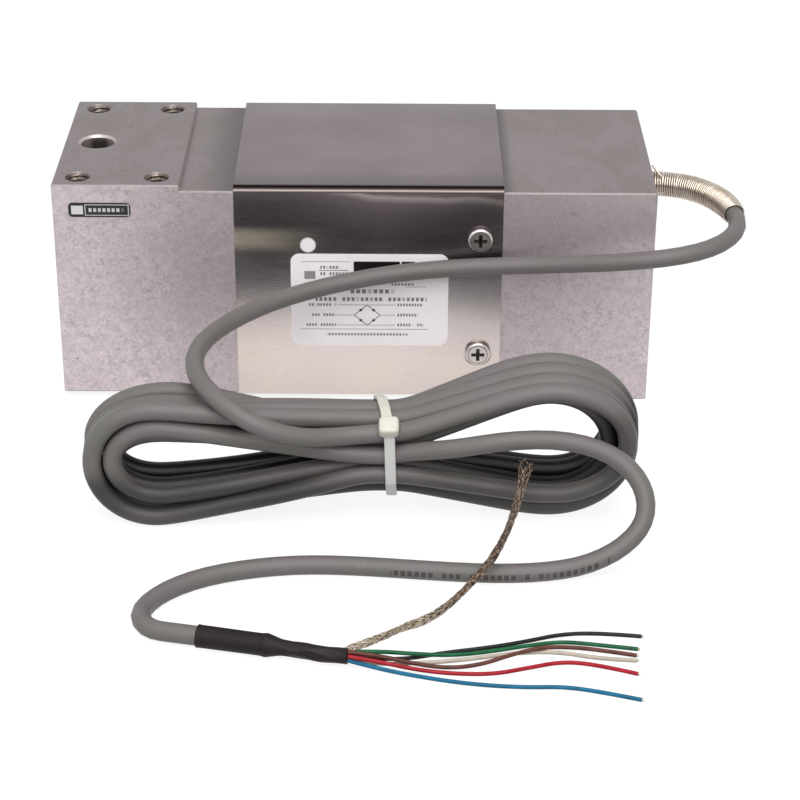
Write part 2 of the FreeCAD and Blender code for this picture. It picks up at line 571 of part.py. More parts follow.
def build():
    """Every piece of the load cell as (name, shape)."""
    pieces = {"beam": beam(), "cover": cover()}
    for name, side, z in screw_places():
        pieces["cover_screw_" + name] = cover_screw(side, z)
    face_y = -COVER_Y
    pieces["rating_label"] = rounded_plate(RATING_LENGTH, RATING_HEIGHT, RATING_CORNER,
                                           LABEL_THICKNESS, RATING_MID_X, RATING_MID_Z, face_y)
    pieces["round_sticker"] = cylinder(STICKER_R, V(STICKER_X, face_y, STICKER_Z), -Y_AXIS,
                                       LABEL_THICKNESS)
    pieces["beam_tag"] = rounded_plate(TAG_LENGTH, TAG_HEIGHT, TAG_CORNER, LABEL_THICKNESS,
                                       TAG_MID_X, TAG_MID_Z, -HALF_WIDTH)
    for level, up in (("top", 1), ("bottom", -1)):
        bundle = lead_bundle(up)
        gauges = {side: gauge(side, up) for side in (-1, 1)}
        pieces["gauge_%s_loaded" % level] = gauges[-1]
        pieces["gauge_%s_fixed" % level] = gauges[1]
        pieces["lead_bundle_" + level] = bundle
        pieces["potting_" + level] = potting(up, list(gauges.values()) + [bundle])
    pieces["terminal_board"] = terminal_board()
    for name, side in (("near", -1), ("far", 1)):
        pieces["board_screw_" + name] = board_screw(side)
    for place, name in enumerate(("resistor_zero", "resistor_span", "resistor_input")):
        pieces[name] = resistor(place - 1)
    pieces["cable_bush"] = cable_bush()
    pieces["cable_inner"] = cable_inner()
    pieces["cable_cores"] = cable_cores()

    lead = route_edges(LEAD_ROUTE, "lead")
    hank = cable_hank()
    sleeve = end_sleeve()
    pieces["spring_sleeve"] = spring_sleeve(lead)
    pieces["cable_hank"] = hank
    pieces["cable_lead"] = tube(lead, CABLE_R).cut(hank)
    pieces["cable_tail"] = tube(route_edges(TAIL_ROUTE, "tail"), CABLE_R).cut(hank)
    pieces["cable_tie"] = cable_tie(hank)
    pieces["end_sleeve"] = sleeve
    for colour, route in WIRE_ROUTES.items():
        pieces["wire_" + colour] = tube(route_edges(route, colour), WIRE_D / 2).cut(sleeve)
    pieces["shield_braid"] = tube(route_edges(BRAID_ROUTE, "braid"), BRAID_D / 2).cut(sleeve)
    return pieces


def main():
    """Write one STEP file for each piece."""
    os.makedirs("parts", exist_ok=True)
    for name, shape in build().items():
        solids = shape.Solids
        if len(solids) != 1 or not shape.isValid():
            print(name, "solids", len(solids), "valid", shape.isValid())
        shape.exportStep("parts/%s.step" % name)


main()
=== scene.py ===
import logging
import math
from dataclasses import dataclass
from enum import Enum
from typing import Callable, Dict, List, Sequence, Tuple

import bpy
import numpy as np
from mathutils import Matrix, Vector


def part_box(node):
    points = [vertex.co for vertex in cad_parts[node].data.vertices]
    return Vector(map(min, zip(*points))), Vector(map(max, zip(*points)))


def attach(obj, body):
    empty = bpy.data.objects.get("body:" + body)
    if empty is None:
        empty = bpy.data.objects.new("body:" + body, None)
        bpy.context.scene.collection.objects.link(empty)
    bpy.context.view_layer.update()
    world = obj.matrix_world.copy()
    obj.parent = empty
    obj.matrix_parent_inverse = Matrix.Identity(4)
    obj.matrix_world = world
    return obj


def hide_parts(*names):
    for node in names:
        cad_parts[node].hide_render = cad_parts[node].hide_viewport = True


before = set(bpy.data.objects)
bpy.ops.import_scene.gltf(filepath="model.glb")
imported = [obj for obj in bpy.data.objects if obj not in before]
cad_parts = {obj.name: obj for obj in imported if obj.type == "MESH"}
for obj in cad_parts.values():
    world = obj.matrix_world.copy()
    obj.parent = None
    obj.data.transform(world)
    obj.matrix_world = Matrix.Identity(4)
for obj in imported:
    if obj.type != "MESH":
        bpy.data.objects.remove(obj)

# The looks of a single point load cell: an aluminium beam under a folded steel cover, and a signal
# cable wound into a hank in front of it. The CAD frame gives every size that it holds. Lengths in
# the classes below are millimetres in the frame's own axes, and become metres when a mesh is made.

LOG = logging.getLogger("load_cell")
MM = 0.001
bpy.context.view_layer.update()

Colour = Tuple[float, float, float]
Point = Tuple[float, float, float]


class End(Enum):
    """The two ends of the hank."""

    LEFT = -1
    RIGHT = 1


class Ring(Enum):
    """The two rings of cable in each end of the hank."""

    INNER = 1
    OUTER = 0


# Lines and surfaces.


def round_line(points: np.ndarray, steps: int = 8) -> np.ndarray:
    """The line that a clamped quadratic spline draws through its control points.

    Each inner control point bends one parabola, (1-t)^2 A + 2t(1-t) P + t^2 B, where A and B are the
    middles of the two runs beside it, or the end points themselves at the two ends.

    Args:
        points: control points, one row each.
        steps: how many parts each parabola has.

    Returns:
        Points on the line, one row each.
    """
    middles = (points[1:-2] + points[2:-1]) / 2
    starts = np.vstack([points[:1], middles])[:, None]
    ends = np.vstack([middles, points[-1:]])[:, None]
    t = (np.arange(steps) / steps)[None, :, None]
    curve = (1 - t) ** 2 * starts + 2 * t * (1 - t) * points[1:-1, None] + t ** 2 * ends
    return np.vstack([curve.reshape(-1, 3), points[-1:]])


def even_line(points: np.ndarray, spacing: float) -> np.ndarray:
    """The same line with points an equal way apart, by linear steps along its own length."""
    run = np.concatenate([[0.0], np.cumsum(np.linalg.norm(np.diff(points, axis=0), axis=1))])
    at = np.linspace(0.0, run[-1], max(2, int(round(run[-1] / spacing)) + 1))
    return np.column_stack([np.interp(at, run, points[:, axis]) for axis in range(3)])


def unit(vectors: np.ndarray) -> np.ndarray:
    """Each vector divided by its own length."""
    return vectors / np.linalg.norm(vectors, axis=-1, keepdims=True)


def frames_along(line: np.ndarray) -> Tuple[np.ndarray, np.ndarray, np.ndarray]:
    """Tangent, side and rise at each point of a line that is never upright.

    The tangent is the slope of the line, the side is the cross product of the vertical with it, and
    the rise is the cross product of the tangent with the side.

    Args:
        line: points, one row each.

    Returns:
        Three arrays of unit vectors.
    """
    tangent = unit(np.gradient(line, axis=0))
    side = unit(np.cross(np.array([0.0, 0.0, 1.0]), tangent))
    return tangent, side, np.cross(tangent, side)


def eased(value: np.ndarray, start: float, over: float) -> np.ndarray:
    """A smooth step from nought to one: t^2 (3 - 2t), with t the share of the way past the start."""
    t = np.clip((value - start) / over, 0, 1)
    return t * t * (3 - 2 * t)


def tube_grid(line: np.ndarray, radius: np.ndarray, sides: int) -> np.ndarray:
    """A ring of points round each point of a line: centre + radius (cos a side + sin a rise).

    Args:
        line: points, one row each.
        radius: one number for each point, or one for each point and side.
        sides: how many points a ring has.

    Returns:
        An array of points, [along, around].
    """
    _, side, rise = frames_along(line)
    a = np.linspace(0, 2 * np.pi, sides, endpoint=False)[None, :, None]
    reach = np.broadcast_to(np.asarray(radius, float).reshape(len(line), -1), (len(line), sides))
    return line[:, None] + reach[..., None] * (np.cos(a) * side[:, None] + np.sin(a) * rise[:, None])


def grid_faces(rows: int, sides: int, offset: int = 0) -> List[List[int]]:
    """Faces of a closed tube over rows of points, with its two ends capped."""
    index = np.arange(rows * sides).reshape(rows, sides) + offset
    ahead = np.roll(index, -1, axis=1)
    quads = np.stack([index[:-1], ahead[:-1], ahead[1:], index[1:]], axis=-1).reshape(-1, 4)
    return quads.tolist() + [index[0, ::-1].tolist(), index[-1].tolist()]


def linked(name: str, data: object) -> bpy.types.Object:
    """A new object of the scene with that data."""
    thing = bpy.data.objects.new(name, data)
    bpy.context.scene.collection.objects.link(thing)
    return thing


def mesh_of(name: str, grids: Sequence[np.ndarray], ring: bool = False) -> bpy.types.Object:
    """One object of capped tubes, or of tubes whose last row meets the first.

    Args:
        name: the object's name.
        grids: arrays of points in millimetres, [along, around].
        ring: whether each tube closes on itself in place of being capped.

    Returns:
        The object, at the origin, with its place in its mesh.
    """
    points, faces, offset = [], [], 0
    for grid in grids:
        rows, sides = grid.shape[:2]
        made = grid_faces(rows, sides, offset)
        if ring:
            index = np.arange(rows * sides).reshape(rows, sides) + offset
            last, first = index[-1], index[0]
            seam = np.stack([last, np.roll(last, -1), np.roll(first, -1), first], axis=-1)
            made = made[:-2] + seam.tolist()
        points.append(grid.reshape(-1, 3) * MM)
        faces += made
        offset += rows * sides
    mesh = bpy.data.meshes.new(name)
    mesh.from_pydata(np.vstack(points).tolist(), [], faces)
    mesh.shade_smooth()
    mesh.update()
    return linked(name, mesh)


def spline_of(name: str, points: np.ndarray, diameter: float, sides: int,
              fine: int) -> bpy.types.Object:
    """A round cord: one quadratic spline whose control points are the cord's route.

    Args:
        name: the object's name.
        points: route points in millimetres.
        diameter: the cord's diameter in millimetres.
        sides: the bevel's resolution, where the ring has 4 + 2 times as many points.
        fine: how many parts each run between control points has.

    Returns:
        The curve object.
    """
    curve = bpy.data.curves.new(name, "CURVE")
    curve.dimensions = "3D"
    spline = curve.splines.new("NURBS")
    spline.points.add(len(points) - 1)
    spline.points.foreach_set("co", np.column_stack([points * MM, np.ones(len(points))]).ravel())
    spline.order_u = 3
    spline.use_endpoint_u = True
    curve.resolution_u = curve.render_resolution_u = fine
    spline.points.foreach_set("radius", np.full(len(points), diameter * MM / 2))
    curve.bevel_depth = 1.0
    curve.bevel_resolution = sides
    curve.use_fill_caps = True
    return linked(name, curve)


def line_of(cord: bpy.types.Object) -> np.ndarray:
    """The points of a cord's own centreline in millimetres, read from its spline with no bevel."""
    depth, cord.data.bevel_depth = cord.data.bevel_depth, 0.0
    bpy.context.view_layer.update()
    evaluated = cord.evaluated_get(bpy.context.evaluated_depsgraph_get())
    mesh = bpy.data.meshes.new_from_object(evaluated)
    flat = np.empty(3 * len(mesh.vertices))
    mesh.vertices.foreach_get("co", flat)
    bpy.data.meshes.remove(mesh)
    cord.data.bevel_depth = depth
    return flat.reshape(-1, 3) / MM


def length_of(line: np.ndarray) -> float:
    """A line's length, the sum of its runs."""
    return float(np.linalg.norm(np.diff(line, axis=0), axis=1).sum())


def box_of(node: str) -> Tuple[np.ndarray, np.ndarray, np.ndarray]:
    """The lowest and highest corner of a node of the frame, and their middle, in millimetres."""
    low, high = (np.array(corner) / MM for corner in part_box(node))
    return low, high, (low + high) / 2


def finished(thing: bpy.types.Object, material: bpy.types.Material) -> bpy.types.Object:
    """Gives a piece its finish."""
    thing.data.materials.clear()
    thing.data.materials.append(material)
    return thing


def dressed(thing: bpy.types.Object, material: bpy.types.Material) -> bpy.types.Object:
    """Gives a new piece its finish, and fixes it to the load cell."""
    finished(thing, material)
    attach(thing, "root")
    return thing


def carried(node: str, material: bpy.types.Material) -> bpy.types.Object:
    """Gives a node of the CAD frame its finish."""
    return finished(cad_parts[node], material)


# Shader expressions.


def operator(operation: str, swapped: bool = False) -> Callable[["Field", object], "Field"]:
    """A method that adds one Math node.

    Args:
        operation: the node's operation.
        swapped: whether the other term comes first, as a reflected operator needs.

    Returns:
        The method, of a field and one other term.
    """
    def method(self: "Field", other: object) -> "Field":
        """The operation on both terms."""
        return self.net.math(operation, *((other, self) if swapped else (self, other)))
    return method


class Field:
    """A number that changes over a surface: one socket, with arithmetic that adds Math nodes."""

    def __init__(self, net: "Net", socket: bpy.types.NodeSocket) -> None:
        """Args: net, the finish's nodes; socket, the output that carries the number."""
        self.net, self.socket = net, socket

    __add__, __radd__ = operator("ADD"), operator("ADD", True)
    __sub__, __rsub__ = operator("SUBTRACT"), operator("SUBTRACT", True)
    __mul__, __rmul__ = operator("MULTIPLY"), operator("MULTIPLY", True)
    __truediv__, __pow__ = operator("DIVIDE"), operator("POWER")
    # The smaller of two, the larger of two, and the remainder after whole periods.
    least, most, wrapped = operator("MINIMUM"), operator("MAXIMUM"), operator("FLOORED_MODULO")

    def __abs__(self) -> "Field":
        """Size without sign."""
        return self.net.math("ABSOLUTE", self)

    def rise(self, low: float, high: float) -> "Field":
        """Nought below low, one above high, and a smooth step between. High may be the lower."""
        node = self.net.node("ShaderNodeMapRange", {"interpolation_type": "SMOOTHSTEP"},
                             {0: self, 1: low, 2: high, 3: 0.0, 4: 1.0})
        return Field(self.net, node.outputs[0])


class Net:
    """The nodes of one finish, or of the sky."""

    def __init__(self, name: str, kind: str = "materials") -> None:
        """Args: name, what it is called; kind, materials or worlds."""
        self.material = getattr(bpy.data, kind).new(name)
        self.material.use_nodes = True
        self.tree = self.material.node_tree
        self.tree.nodes.clear()
        self._place: Dict[str, object] = {}

    def node(self, kind: str, settings: Dict[str, object],
             sockets: Dict[object, object]) -> bpy.types.Node:
        """Adds a node.

        Args:
            kind: the node's type.
            settings: its properties, which are set first; "stops" are a ramp's places and colours.
            sockets: values or links of its inputs, by name or number.

        Returns:
            The node.
        """
        made = self.tree.nodes.new(kind)
        for key, value in settings.items():
            if key == "stops":
                ramp = made.color_ramp
                while len(ramp.elements) < len(value):
                    ramp.elements.new(1.0)
                for element, (place, colour) in zip(ramp.elements, value):
                    element.position, element.color = place, (*colour, 1.0)
            else:
                setattr(made, key, value)
        for key, value in sockets.items():
            socket = made.inputs[key]
            if isinstance(value, Field):
                self.tree.links.new(value.socket, socket)
            elif isinstance(value, bpy.types.NodeSocket):
                self.tree.links.new(value, socket)
            elif isinstance(value, tuple) and socket.type == "RGBA":
                socket.default_value = (*value, 1.0)
            else:
                socket.default_value = value
        return made

    def math(self, operation: str, *terms: object) -> Field:
        """A Math node of that operation on the terms."""
        made = self.node("ShaderNodeMath", {"operation": operation}, dict(enumerate(terms)))
        return Field(self, made.outputs[0])

    def where(self) -> bpy.types.NodeSocket:
        """The place on the piece in millimetres, as a vector."""
        if "vector" not in self._place:
            spot = self.node("ShaderNodeTexCoord", {}, {})
            scaled = self.node("ShaderNodeVectorMath", {"operation": "SCALE"},
                               {0: spot.outputs["Object"], "Scale": 1 / MM})
            self._place["vector"] = scaled.outputs[0]
        return self._place["vector"]

    def axis(self, letter: str) -> Field:
        """One coordinate of the place, in millimetres."""
        if "split" not in self._place:
            self._place["split"] = self.node("ShaderNodeSeparateXYZ", {}, {0: self.where()})
        return Field(self, self._place["split"].outputs[letter])

    def facing(self, letter: str) -> Field:
        """How far the surface faces along an axis of the frame, from minus one to one."""
        if "facing" not in self._place:
            shape = self.node("ShaderNodeNewGeometry", {}, {})
            self._place["facing"] = self.node("ShaderNodeSeparateXYZ", {}, {0: shape.outputs["Normal"]})
        return Field(self, self._place["facing"].outputs[letter])

    def stretched(self, x: float, y: float, z: float) -> bpy.types.NodeSocket:
        """The place with each coordinate multiplied, for a grain that runs one way."""
        made = self.node("ShaderNodeVectorMath", {"operation": "MULTIPLY"},
                         {0: self.where(), 1: (x, y, z)})
        return made.outputs[0]

    def noise(self, scale: float, detail: float = 3.0, roughness: float = 0.55,
              distortion: float = 0.0, vector: object = None) -> Field:
        """Cloudy noise from nought to one; scale counts features in a millimetre."""
        made = self.node("ShaderNodeTexNoise", {}, {
            "Vector": vector or self.where(), "Scale": scale, "Detail": detail,
            "Roughness": roughness, "Distortion": distortion})
        return Field(self, made.outputs["Fac"])

    def cells(self, scale: float, vector: object = None) -> Field:
        """Distance to the nearest of scattered points, in units of their spacing."""
        made = self.node("ShaderNodeTexVoronoi", {}, {"Vector": vector or self.where(), "Scale": scale})
        return Field(self, made.outputs["Distance"])

    def mix(self, share: object, first: object, second: object) -> bpy.types.NodeSocket:
        """A colour between two: the first where share is nought, the second where it is one."""
        made = self.node("ShaderNodeMix", {"data_type": "RGBA"}, {0: share, 6: first, 7: second})
        return made.outputs[2]

    def ramp(self, share: Field, stops: Sequence[Tuple[float, Colour]]) -> bpy.types.NodeSocket:
        """A colour read from a row of stops."""
        return self.node("ShaderNodeValToRGB", {"stops": stops}, {0: share}).outputs[0]

    def relief(self, height: Field, depth: float, strength: float = 1.0) -> bpy.types.NodeSocket:
        """A normal bent by a height field; depth is in millimetres."""
        made = self.node("ShaderNodeBump", {}, {
            "Strength": strength, "Distance": depth * MM, "Height": height})
        return made.outputs[0]

    def surface(self, **sockets: object) -> bpy.types.Material:
        """Ends the finish in one Principled shader, whose sockets are given by name."""
        named = {key.replace("_", " "): value for key, value in sockets.items()}
        shader = self.node("ShaderNodeBsdfPrincipled", {}, named)
        self.node("ShaderNodeOutputMaterial", {}, {"Surface": shader.outputs[0]})
        return self.material


def shade(red: int, green: int, blue: int) -> Colour:
    """A colour given in display steps of 255, as a scene colour."""
    steps = [value / 255 for value in (red, green, blue)]
    return tuple(s / 12.92 if s <= 0.04045 else ((s + 0.055) / 1.055) ** 2.4 for s in steps)


# Finishes.


@dataclass(frozen=True)
class MilledAluminium:
    """Cold drawn and milled aluminium: mottled sides with dark specks, smoother milled ends and pads, painted
    shade on the top beside the cover, and painted shade and a painted highlight in the locating bore.
    """

    cover_low: float
    cover_high: float
    bore_x: float
    bore_radius: float
    top: float
    light: Colour = shade(220, 208, 211)
    middle: Colour = shade(188, 176, 179)
    dark: Colour = shade(156, 145, 148)
    milled: Colour = shade(136, 126, 129)
    milled_warm: Colour = shade(127, 119, 115)
    speck: Colour = shade(98, 89, 91)
    edge: Colour = shade(108, 100, 99)
    bore_shade: Colour = shade(66, 59, 56)

    def _side(self, net: Net, grain: Field, flecks: Field) -> bpy.types.NodeSocket:
        """The drawn side: pale at the outer end and low down, with fine mottling and specks."""
        x, z = net.axis("X"), net.axis("Z")
        outward = (x * -1.0).rise(30.0, 74.0) * 0.75 + x.rise(48.0, 76.0) * 0.2
        tone = (outward + (z / 58.0).rise(0.95, 0.0) * 0.5).least(1.0)
        clouds = net.noise(0.13, 3.0, 0.6, 0.5)
        mottle = (net.noise(0.55, 5.0, 0.7, 1.2) * 0.6 + grain * 0.4).rise(0.36, 0.64)
        base = net.mix((tone * 0.8 + (clouds - 0.5) * 0.9).most(0.0), self.middle, self.light)
        base = net.mix(mottle * 0.6, base, self.dark)
        base = net.mix(x.rise(30.0, 40.0) * z.rise(30.0, 54.0) * 0.5, base, self.dark)
        return net.mix(flecks * clouds.rise(0.36, 0.6) * 0.9, base, self.speck)

    def _flat(self, net: Net, flecks: Field, milling: Field) -> bpy.types.NodeSocket:
        """The milled top, darker in the cover's shade beside it."""
        x = net.axis("X")
        drift = net.noise(0.08, 4.0, 0.6, 0.6, net.stretched(1.0, 0.6, 1.0)) + milling * 0.25 - 0.125
        base = net.mix(drift.rise(0.35, 0.68), self.milled, self.milled_warm)
        faint = net.noise(0.5, 5.0, 0.7, 1.5).rise(0.50, 0.70)
        base = net.mix(faint * 0.4 + flecks * 0.3, base, self.speck)
        shade_left = x.rise(self.cover_low - 11.0, self.cover_low - 0.5) * x.rise(0.0, -1.0)
        shade_right = x.rise(self.cover_high + 3.5, self.cover_high + 0.3) * x.rise(0.0, 1.0)
        return net.mix(shade_left.most(shade_right) * 0.85, base, shade(92, 84, 87))

    def material(self) -> bpy.types.Material:
        """Builds the finish."""
        net = Net("milled_aluminium")
        x, y, z = net.axis("X"), net.axis("Y"), net.axis("Z")
        grain = net.noise(1.5, 5.0, 0.72, 0.8)
        flecks = (abs(net.noise(0.42, 5.0, 0.66, 1.8) - 0.5)).rise(0.018, 0.004)
        flecks = flecks * net.noise(0.6, 3.0, 0.6).rise(0.50, 0.60)
        milling = net.noise(0.55, 3.0, 0.6, 0.0, net.stretched(0.12, 5.0, 1.0))
        up = abs(net.facing("Z"))
        side, flat = self._side(net, grain, flecks), self._flat(net, flecks, milling)
        base = net.mix(up.rise(0.55, 0.9), side, flat)
        saw = net.noise(0.8, 2.0, 0.5, 0.0, net.stretched(1.0, 4.0, 0.15))
        ends = abs(net.facing("X")).rise(0.7, 0.95)
        base = net.mix(ends * 0.6, base, net.mix(saw, self.milled, self.middle))
        base = net.mix(up.rise(0.2, 0.4) * up.rise(0.95, 0.8) * 0.8, base, self.edge)
        # Painted shade in the locating bore: its wall dark, lighter on the sides that face along X and near the
        # top, with a painted highlight on the lip at its mouth.
        out = ((x - self.bore_x) ** 2.0 + y * y) ** 0.5
        wall = out.rise(self.bore_radius + 0.3, self.bore_radius + 0.1) * up.rise(0.5, 0.2)
        ring = net.noise(0.6, 2.0, 0.5, 0.0, net.stretched(0.3, 0.3, 4.0))
        sides = abs(net.facing("X")).rise(0.3, 0.8)
        lit = sides * 0.8 + (z - self.top).rise(-2.0, -0.5) * 0.3 + ring * 0.15
        hollow = net.mix(lit, self.bore_shade, shade(186, 176, 168))
        base = net.mix(wall, base, hollow)
        lip = out.rise(self.bore_radius + 0.9, self.bore_radius + 0.7) * up.rise(0.97, 0.9) * up.rise(0.3, 0.5)
        base = net.mix(lip * (z - self.top).rise(-1.5, -1.0), base, shade(176, 168, 164))
        rough = 0.38 + grain * 0.18 - up * 0.06
        relief = net.relief(grain * 0.6 + flecks * -0.5 + milling * 0.2, 0.05, 0.35)
        return net.surface(Base_Color=base, Metallic=0.85, Roughness=rough, Normal=relief)


@dataclass(frozen=True)
class FoldedSheet:
    """Stainless sheet: a satin top, bends with a painted highlight, and polished sides with a painted
    reflection that darkens towards the top.
    """

    bend_y: float
    bend_z: float
    low: float
    high: float

    def _side(self, net: Net) -> bpy.types.NodeSocket:
        """The polished side with a painted reflection: pale low down, dark above, with painted bright and dark
        bands on the front, and a warm band at the left.
        """
        x, z = net.axis("X"), net.axis("Z")
        level = (z - self.low) / (self.high - self.low)
        drift = net.noise(0.035, 2.0, 0.5, 0.3, net.stretched(1.0, 1.0, 0.5))
        lean = (x / 34.0) * 0.035
        # Painted reflection: pale low down, dark over the upper part, and a bright band just under the bend.
        side = net.ramp((level + lean + drift * 0.12 - 0.06).least(1.0), [
            (0.00, shade(204, 193, 188)), (0.20, shade(222, 208, 205)), (0.41, shade(224, 213, 212)),
            (0.50, shade(208, 199, 199)), (0.58, shade(196, 187, 189)), (0.66, shade(150, 141, 144)),
            (0.78, shade(110, 101, 105)), (0.90, shade(106, 97, 100)), (0.95, shade(116, 107, 109)),
            (0.965, shade(150, 140, 140)), (0.978, shade(172, 162, 160)), (0.99, shade(118, 109, 108))])
        # Painted reflection: the lower part greyer towards the right.
        side = net.mix(x.rise(4.0, 34.0) * level.rise(0.5, 0.3) * 0.35, side, shade(188, 179, 180))
        # Painted reflection on the front only: a bright band high on the left, and a dark band below it.
        near = net.facing("Y").rise(0.2, -0.2)
        glow = (x * -1.0).rise(4.0, 27.0) * abs(z - 45.0).rise(4.2, 0.8) * near
        side = net.mix(glow * 0.9, side, shade(240, 232, 212))
        dark_reflection_band = (x * -1.0).rise(0.0, 25.0) * abs(z - 36.5).rise(6.0, 1.0) * near
        side = net.mix(dark_reflection_band * 0.5, side, shade(124, 121, 122))
        tint = net.noise(0.05, 2.0).rise(0.45, 0.65) * level.rise(0.5, 0.1)
        side = net.mix(tint * 0.25, side, shade(224, 208, 186))
        blush = tint * (x * -1.0).rise(5.0, 25.0) * level.rise(0.3, 0.5) * 0.3
        return net.mix(blush, side, shade(214, 180, 178))

    def material(self) -> bpy.types.Material:
        """Builds the finish."""
        net = Net("folded_sheet")
        y, z = abs(net.axis("Y")), net.axis("Z")
        satin = net.noise(1.4, 4.0, 0.65, 0.0, net.stretched(0.05, 1.0, 1.0))
        top = net.mix((net.noise(0.04, 3.0) + satin * 0.2 - 0.1).rise(0.36, 0.66),
                      shade(124, 114, 118), shade(135, 124, 128))
        top = net.mix(net.axis("Y").rise(14.0, 30.0) * 0.4, top, shade(140, 136, 137))
        # Painted shade: the top darker towards its front edge, and darkest over the start of the bend.
        front = (net.axis("Y") * -1.0).rise(18.0, self.bend_y - 2.0) * 0.6
        front = front.most((net.axis("Y") * -1.0).rise(self.bend_y - 1.6, self.bend_y))
        top = net.mix(front * 0.9, top, shade(96, 88, 89))
        # Painted highlight round the top bend, between painted dark lines, by the angle round it.
        rise, reach = (z - self.bend_z).most(0.0), (y - self.bend_y).most(0.0)
        turn = net.math("ARCTAN2", rise, reach) / (math.pi / 2)
        bend = net.ramp(turn, [
            (0.00, shade(66, 59, 58)), (0.06, shade(68, 61, 59)), (0.16, shade(142, 132, 128)),
            (0.26, shade(128, 119, 115)), (0.35, shade(57, 51, 49)), (0.45, shade(41, 36, 34)),
            (0.55, shade(18, 14, 13)), (0.65, shade(11, 8, 7)), (0.77, shade(44, 36, 32)),
            (0.91, shade(68, 60, 58)), (1.00, shade(104, 96, 97))])
        on_top = abs(net.facing("Z")).rise(0.985, 0.998)
        on_side = abs(net.facing("Z")).rise(0.10, 0.02)
        base = net.mix(on_top, net.mix(on_side, bend, self._side(net)), top)
        scratch = net.noise(0.5, 6.0, 0.7, 2.5, net.stretched(0.35, 1.0, 2.0)).rise(0.68, 0.76)
        base = net.mix(scratch * 0.25, base, shade(70, 64, 66))
        sheared = abs(net.facing("X")).rise(0.6, 0.9)
        base = net.mix(sheared, base, shade(186, 178, 176))
        rough = 0.24 + on_top * 0.12 + satin * 0.06
        return net.surface(Base_Color=base, Metallic=1.0, Roughness=rough,
                           Normal=net.relief(satin, 0.02, 0.06))


@dataclass(frozen=True)
class BrightSteel:
    """Plated screw steel: bright rim, face with punch marks, a painted reflection that darkens the upper head's
    face, painted shade at the head's rounded edge, and painted shade in the cross recess.
    """

    mid_x: float
    mid_z: float
    half_spread: float
    half_width: float = 0.42
    arm: float = 1.66
    base: Colour = shade(206, 198, 195)
    painted_reflection_grey: Colour = shade(164, 156, 153)

    def material(self) -> bpy.types.Material:
        """Builds the finish."""
        net = Net("screw_steel")
        z = net.axis("Z") - self.mid_z
        across, up = abs(net.axis("X") - self.mid_x), abs(abs(z) - self.half_spread)
        out = (across * across + up * up) ** 0.5
        wide = (across - self.arm).most(up - self.half_width)
        tall = (across - self.half_width).most(up - self.arm)
        cross = wide.least(tall).rise(0.12, -0.08)
        # Painted reflection: the upper screw's face darker inside its rim.
        face = net.mix(z.rise(-6.0, 6.0) * out.rise(2.6, 2.3), self.base, self.painted_reflection_grey)
        tool = net.noise(2.2, 3.0, 0.6)
        face = net.mix(tool.rise(0.52, 0.7) * 0.6, face, shade(128, 120, 116))
        # Dark rings: a thin one inside the rim, and painted shade at the head's rounded edge.
        dark_rings = abs(out - 2.45).rise(0.22, 0.08) * 0.6
        dark_rings = dark_rings.most(out.rise(2.95, 3.15) * 0.55)
        face = net.mix(dark_rings, face, shade(84, 76, 73))
        # Painted shade in the cross recess.
        base = net.mix(cross, face, shade(50, 43, 42))
        return net.surface(Base_Color=base, Metallic=0.95, Roughness=0.26 + tool * 0.12)


@dataclass(frozen=True)
class CableJacket:
    """Grey PVC with faint cloudy marks, lighter scuffs with painted highlights, a soft sheen, and painted shade
    on the hank's lower and inner strands.
    """

    grey: Colour = shade(106, 102, 101)
    olive: Colour = shade(104, 104, 97)
    rose: Colour = shade(114, 104, 106)

    def material(self) -> bpy.types.Material:
        """Builds the finish."""
        net = Net("cable_jacket")
        clouds, marks = net.noise(0.05, 2.0), net.noise(0.7, 5.0, 0.7, 0.6)
        base = net.mix(clouds.rise(0.38, 0.62), self.olive, self.rose)
        base = net.mix(0.55, base, self.grey)
        base = net.mix(marks.rise(0.62, 0.8) * 0.35, base, shade(86, 82, 81))
        # Lighter, glossier patches: scuffs and painted highlights.
        scuff_and_highlight = net.noise(0.28, 6.0, 0.75, 1.2).rise(0.60, 0.74)
        base = net.mix(scuff_and_highlight * 0.3, base, shade(150, 145, 141))
        # Painted shade on strands that face the front: dark on the lower strands, more at the left, and on the
        # low part of the right loop; near black on the rear layers below the middle of the hank.
        x, y, z = net.axis("X"), net.axis("Y"), net.axis("Z")
        front = net.facing("Y").rise(0.6, 0.0)
        inside = y.rise(-91.5, -87.5) * (z - x * 0.09 - 20.0).rise(5.0, -3.0) * front
        low = z.rise(17.0, 10.0) * z.rise(-8.0, 8.0) * ((x * -1.0).rise(-60.0, 0.0) * 0.5 + 0.5)
        low = low.most(x.rise(45.0, 60.0) * z.rise(34.0, 27.0) * 0.6) * y.rise(-98.0, -96.5) * front
        base = net.mix(low * 0.85, base, shade(44, 42, 42))
        base = net.mix(inside, base, shade(7, 6, 6))
        band = abs(net.facing("Z") - 0.02).rise(0.34, 0.28) * net.facing("Y").rise(-0.5, -0.7)
        band = band * y.rise(-111.0, -112.0) * abs(x - 33.9).rise(24.9, 24.4)
        cell = (x + 60.0) / 1.55
        spot = net.node("ShaderNodeCombineXYZ", {}, {0: net.math("FLOOR", cell)}).outputs[0]
        chance = net.noise(2.7, 1.0, 0.5, 0.0, spot)
        dashes = abs(cell.wrapped(1.0) - 0.5).rise(0.38, 0.30) * chance.rise(0.41, 0.46)
        base = net.mix(band * dashes * 0.7, base, shade(44, 36, 38))
        return net.surface(Base_Color=base, Roughness=0.38 + marks * 0.14 - scuff_and_highlight * 0.06,
                           Specular_IOR_Level=0.3, Normal=net.relief(marks, 0.04, 0.25))


@dataclass(frozen=True)
class SpringWire:
    """Bright spring wire with a warm tone."""

    base: Colour = shade(198, 188, 176)

    def material(self) -> bpy.types.Material:
        """Builds the finish."""
        net = Net("spring_wire")
        tone = net.noise(0.22, 3.0)
        base = net.mix(tone.rise(0.4, 0.65), self.base, shade(186, 172, 156))
        return net.surface(Base_Color=base, Metallic=1.0, Roughness=0.16 + tone * 0.1)


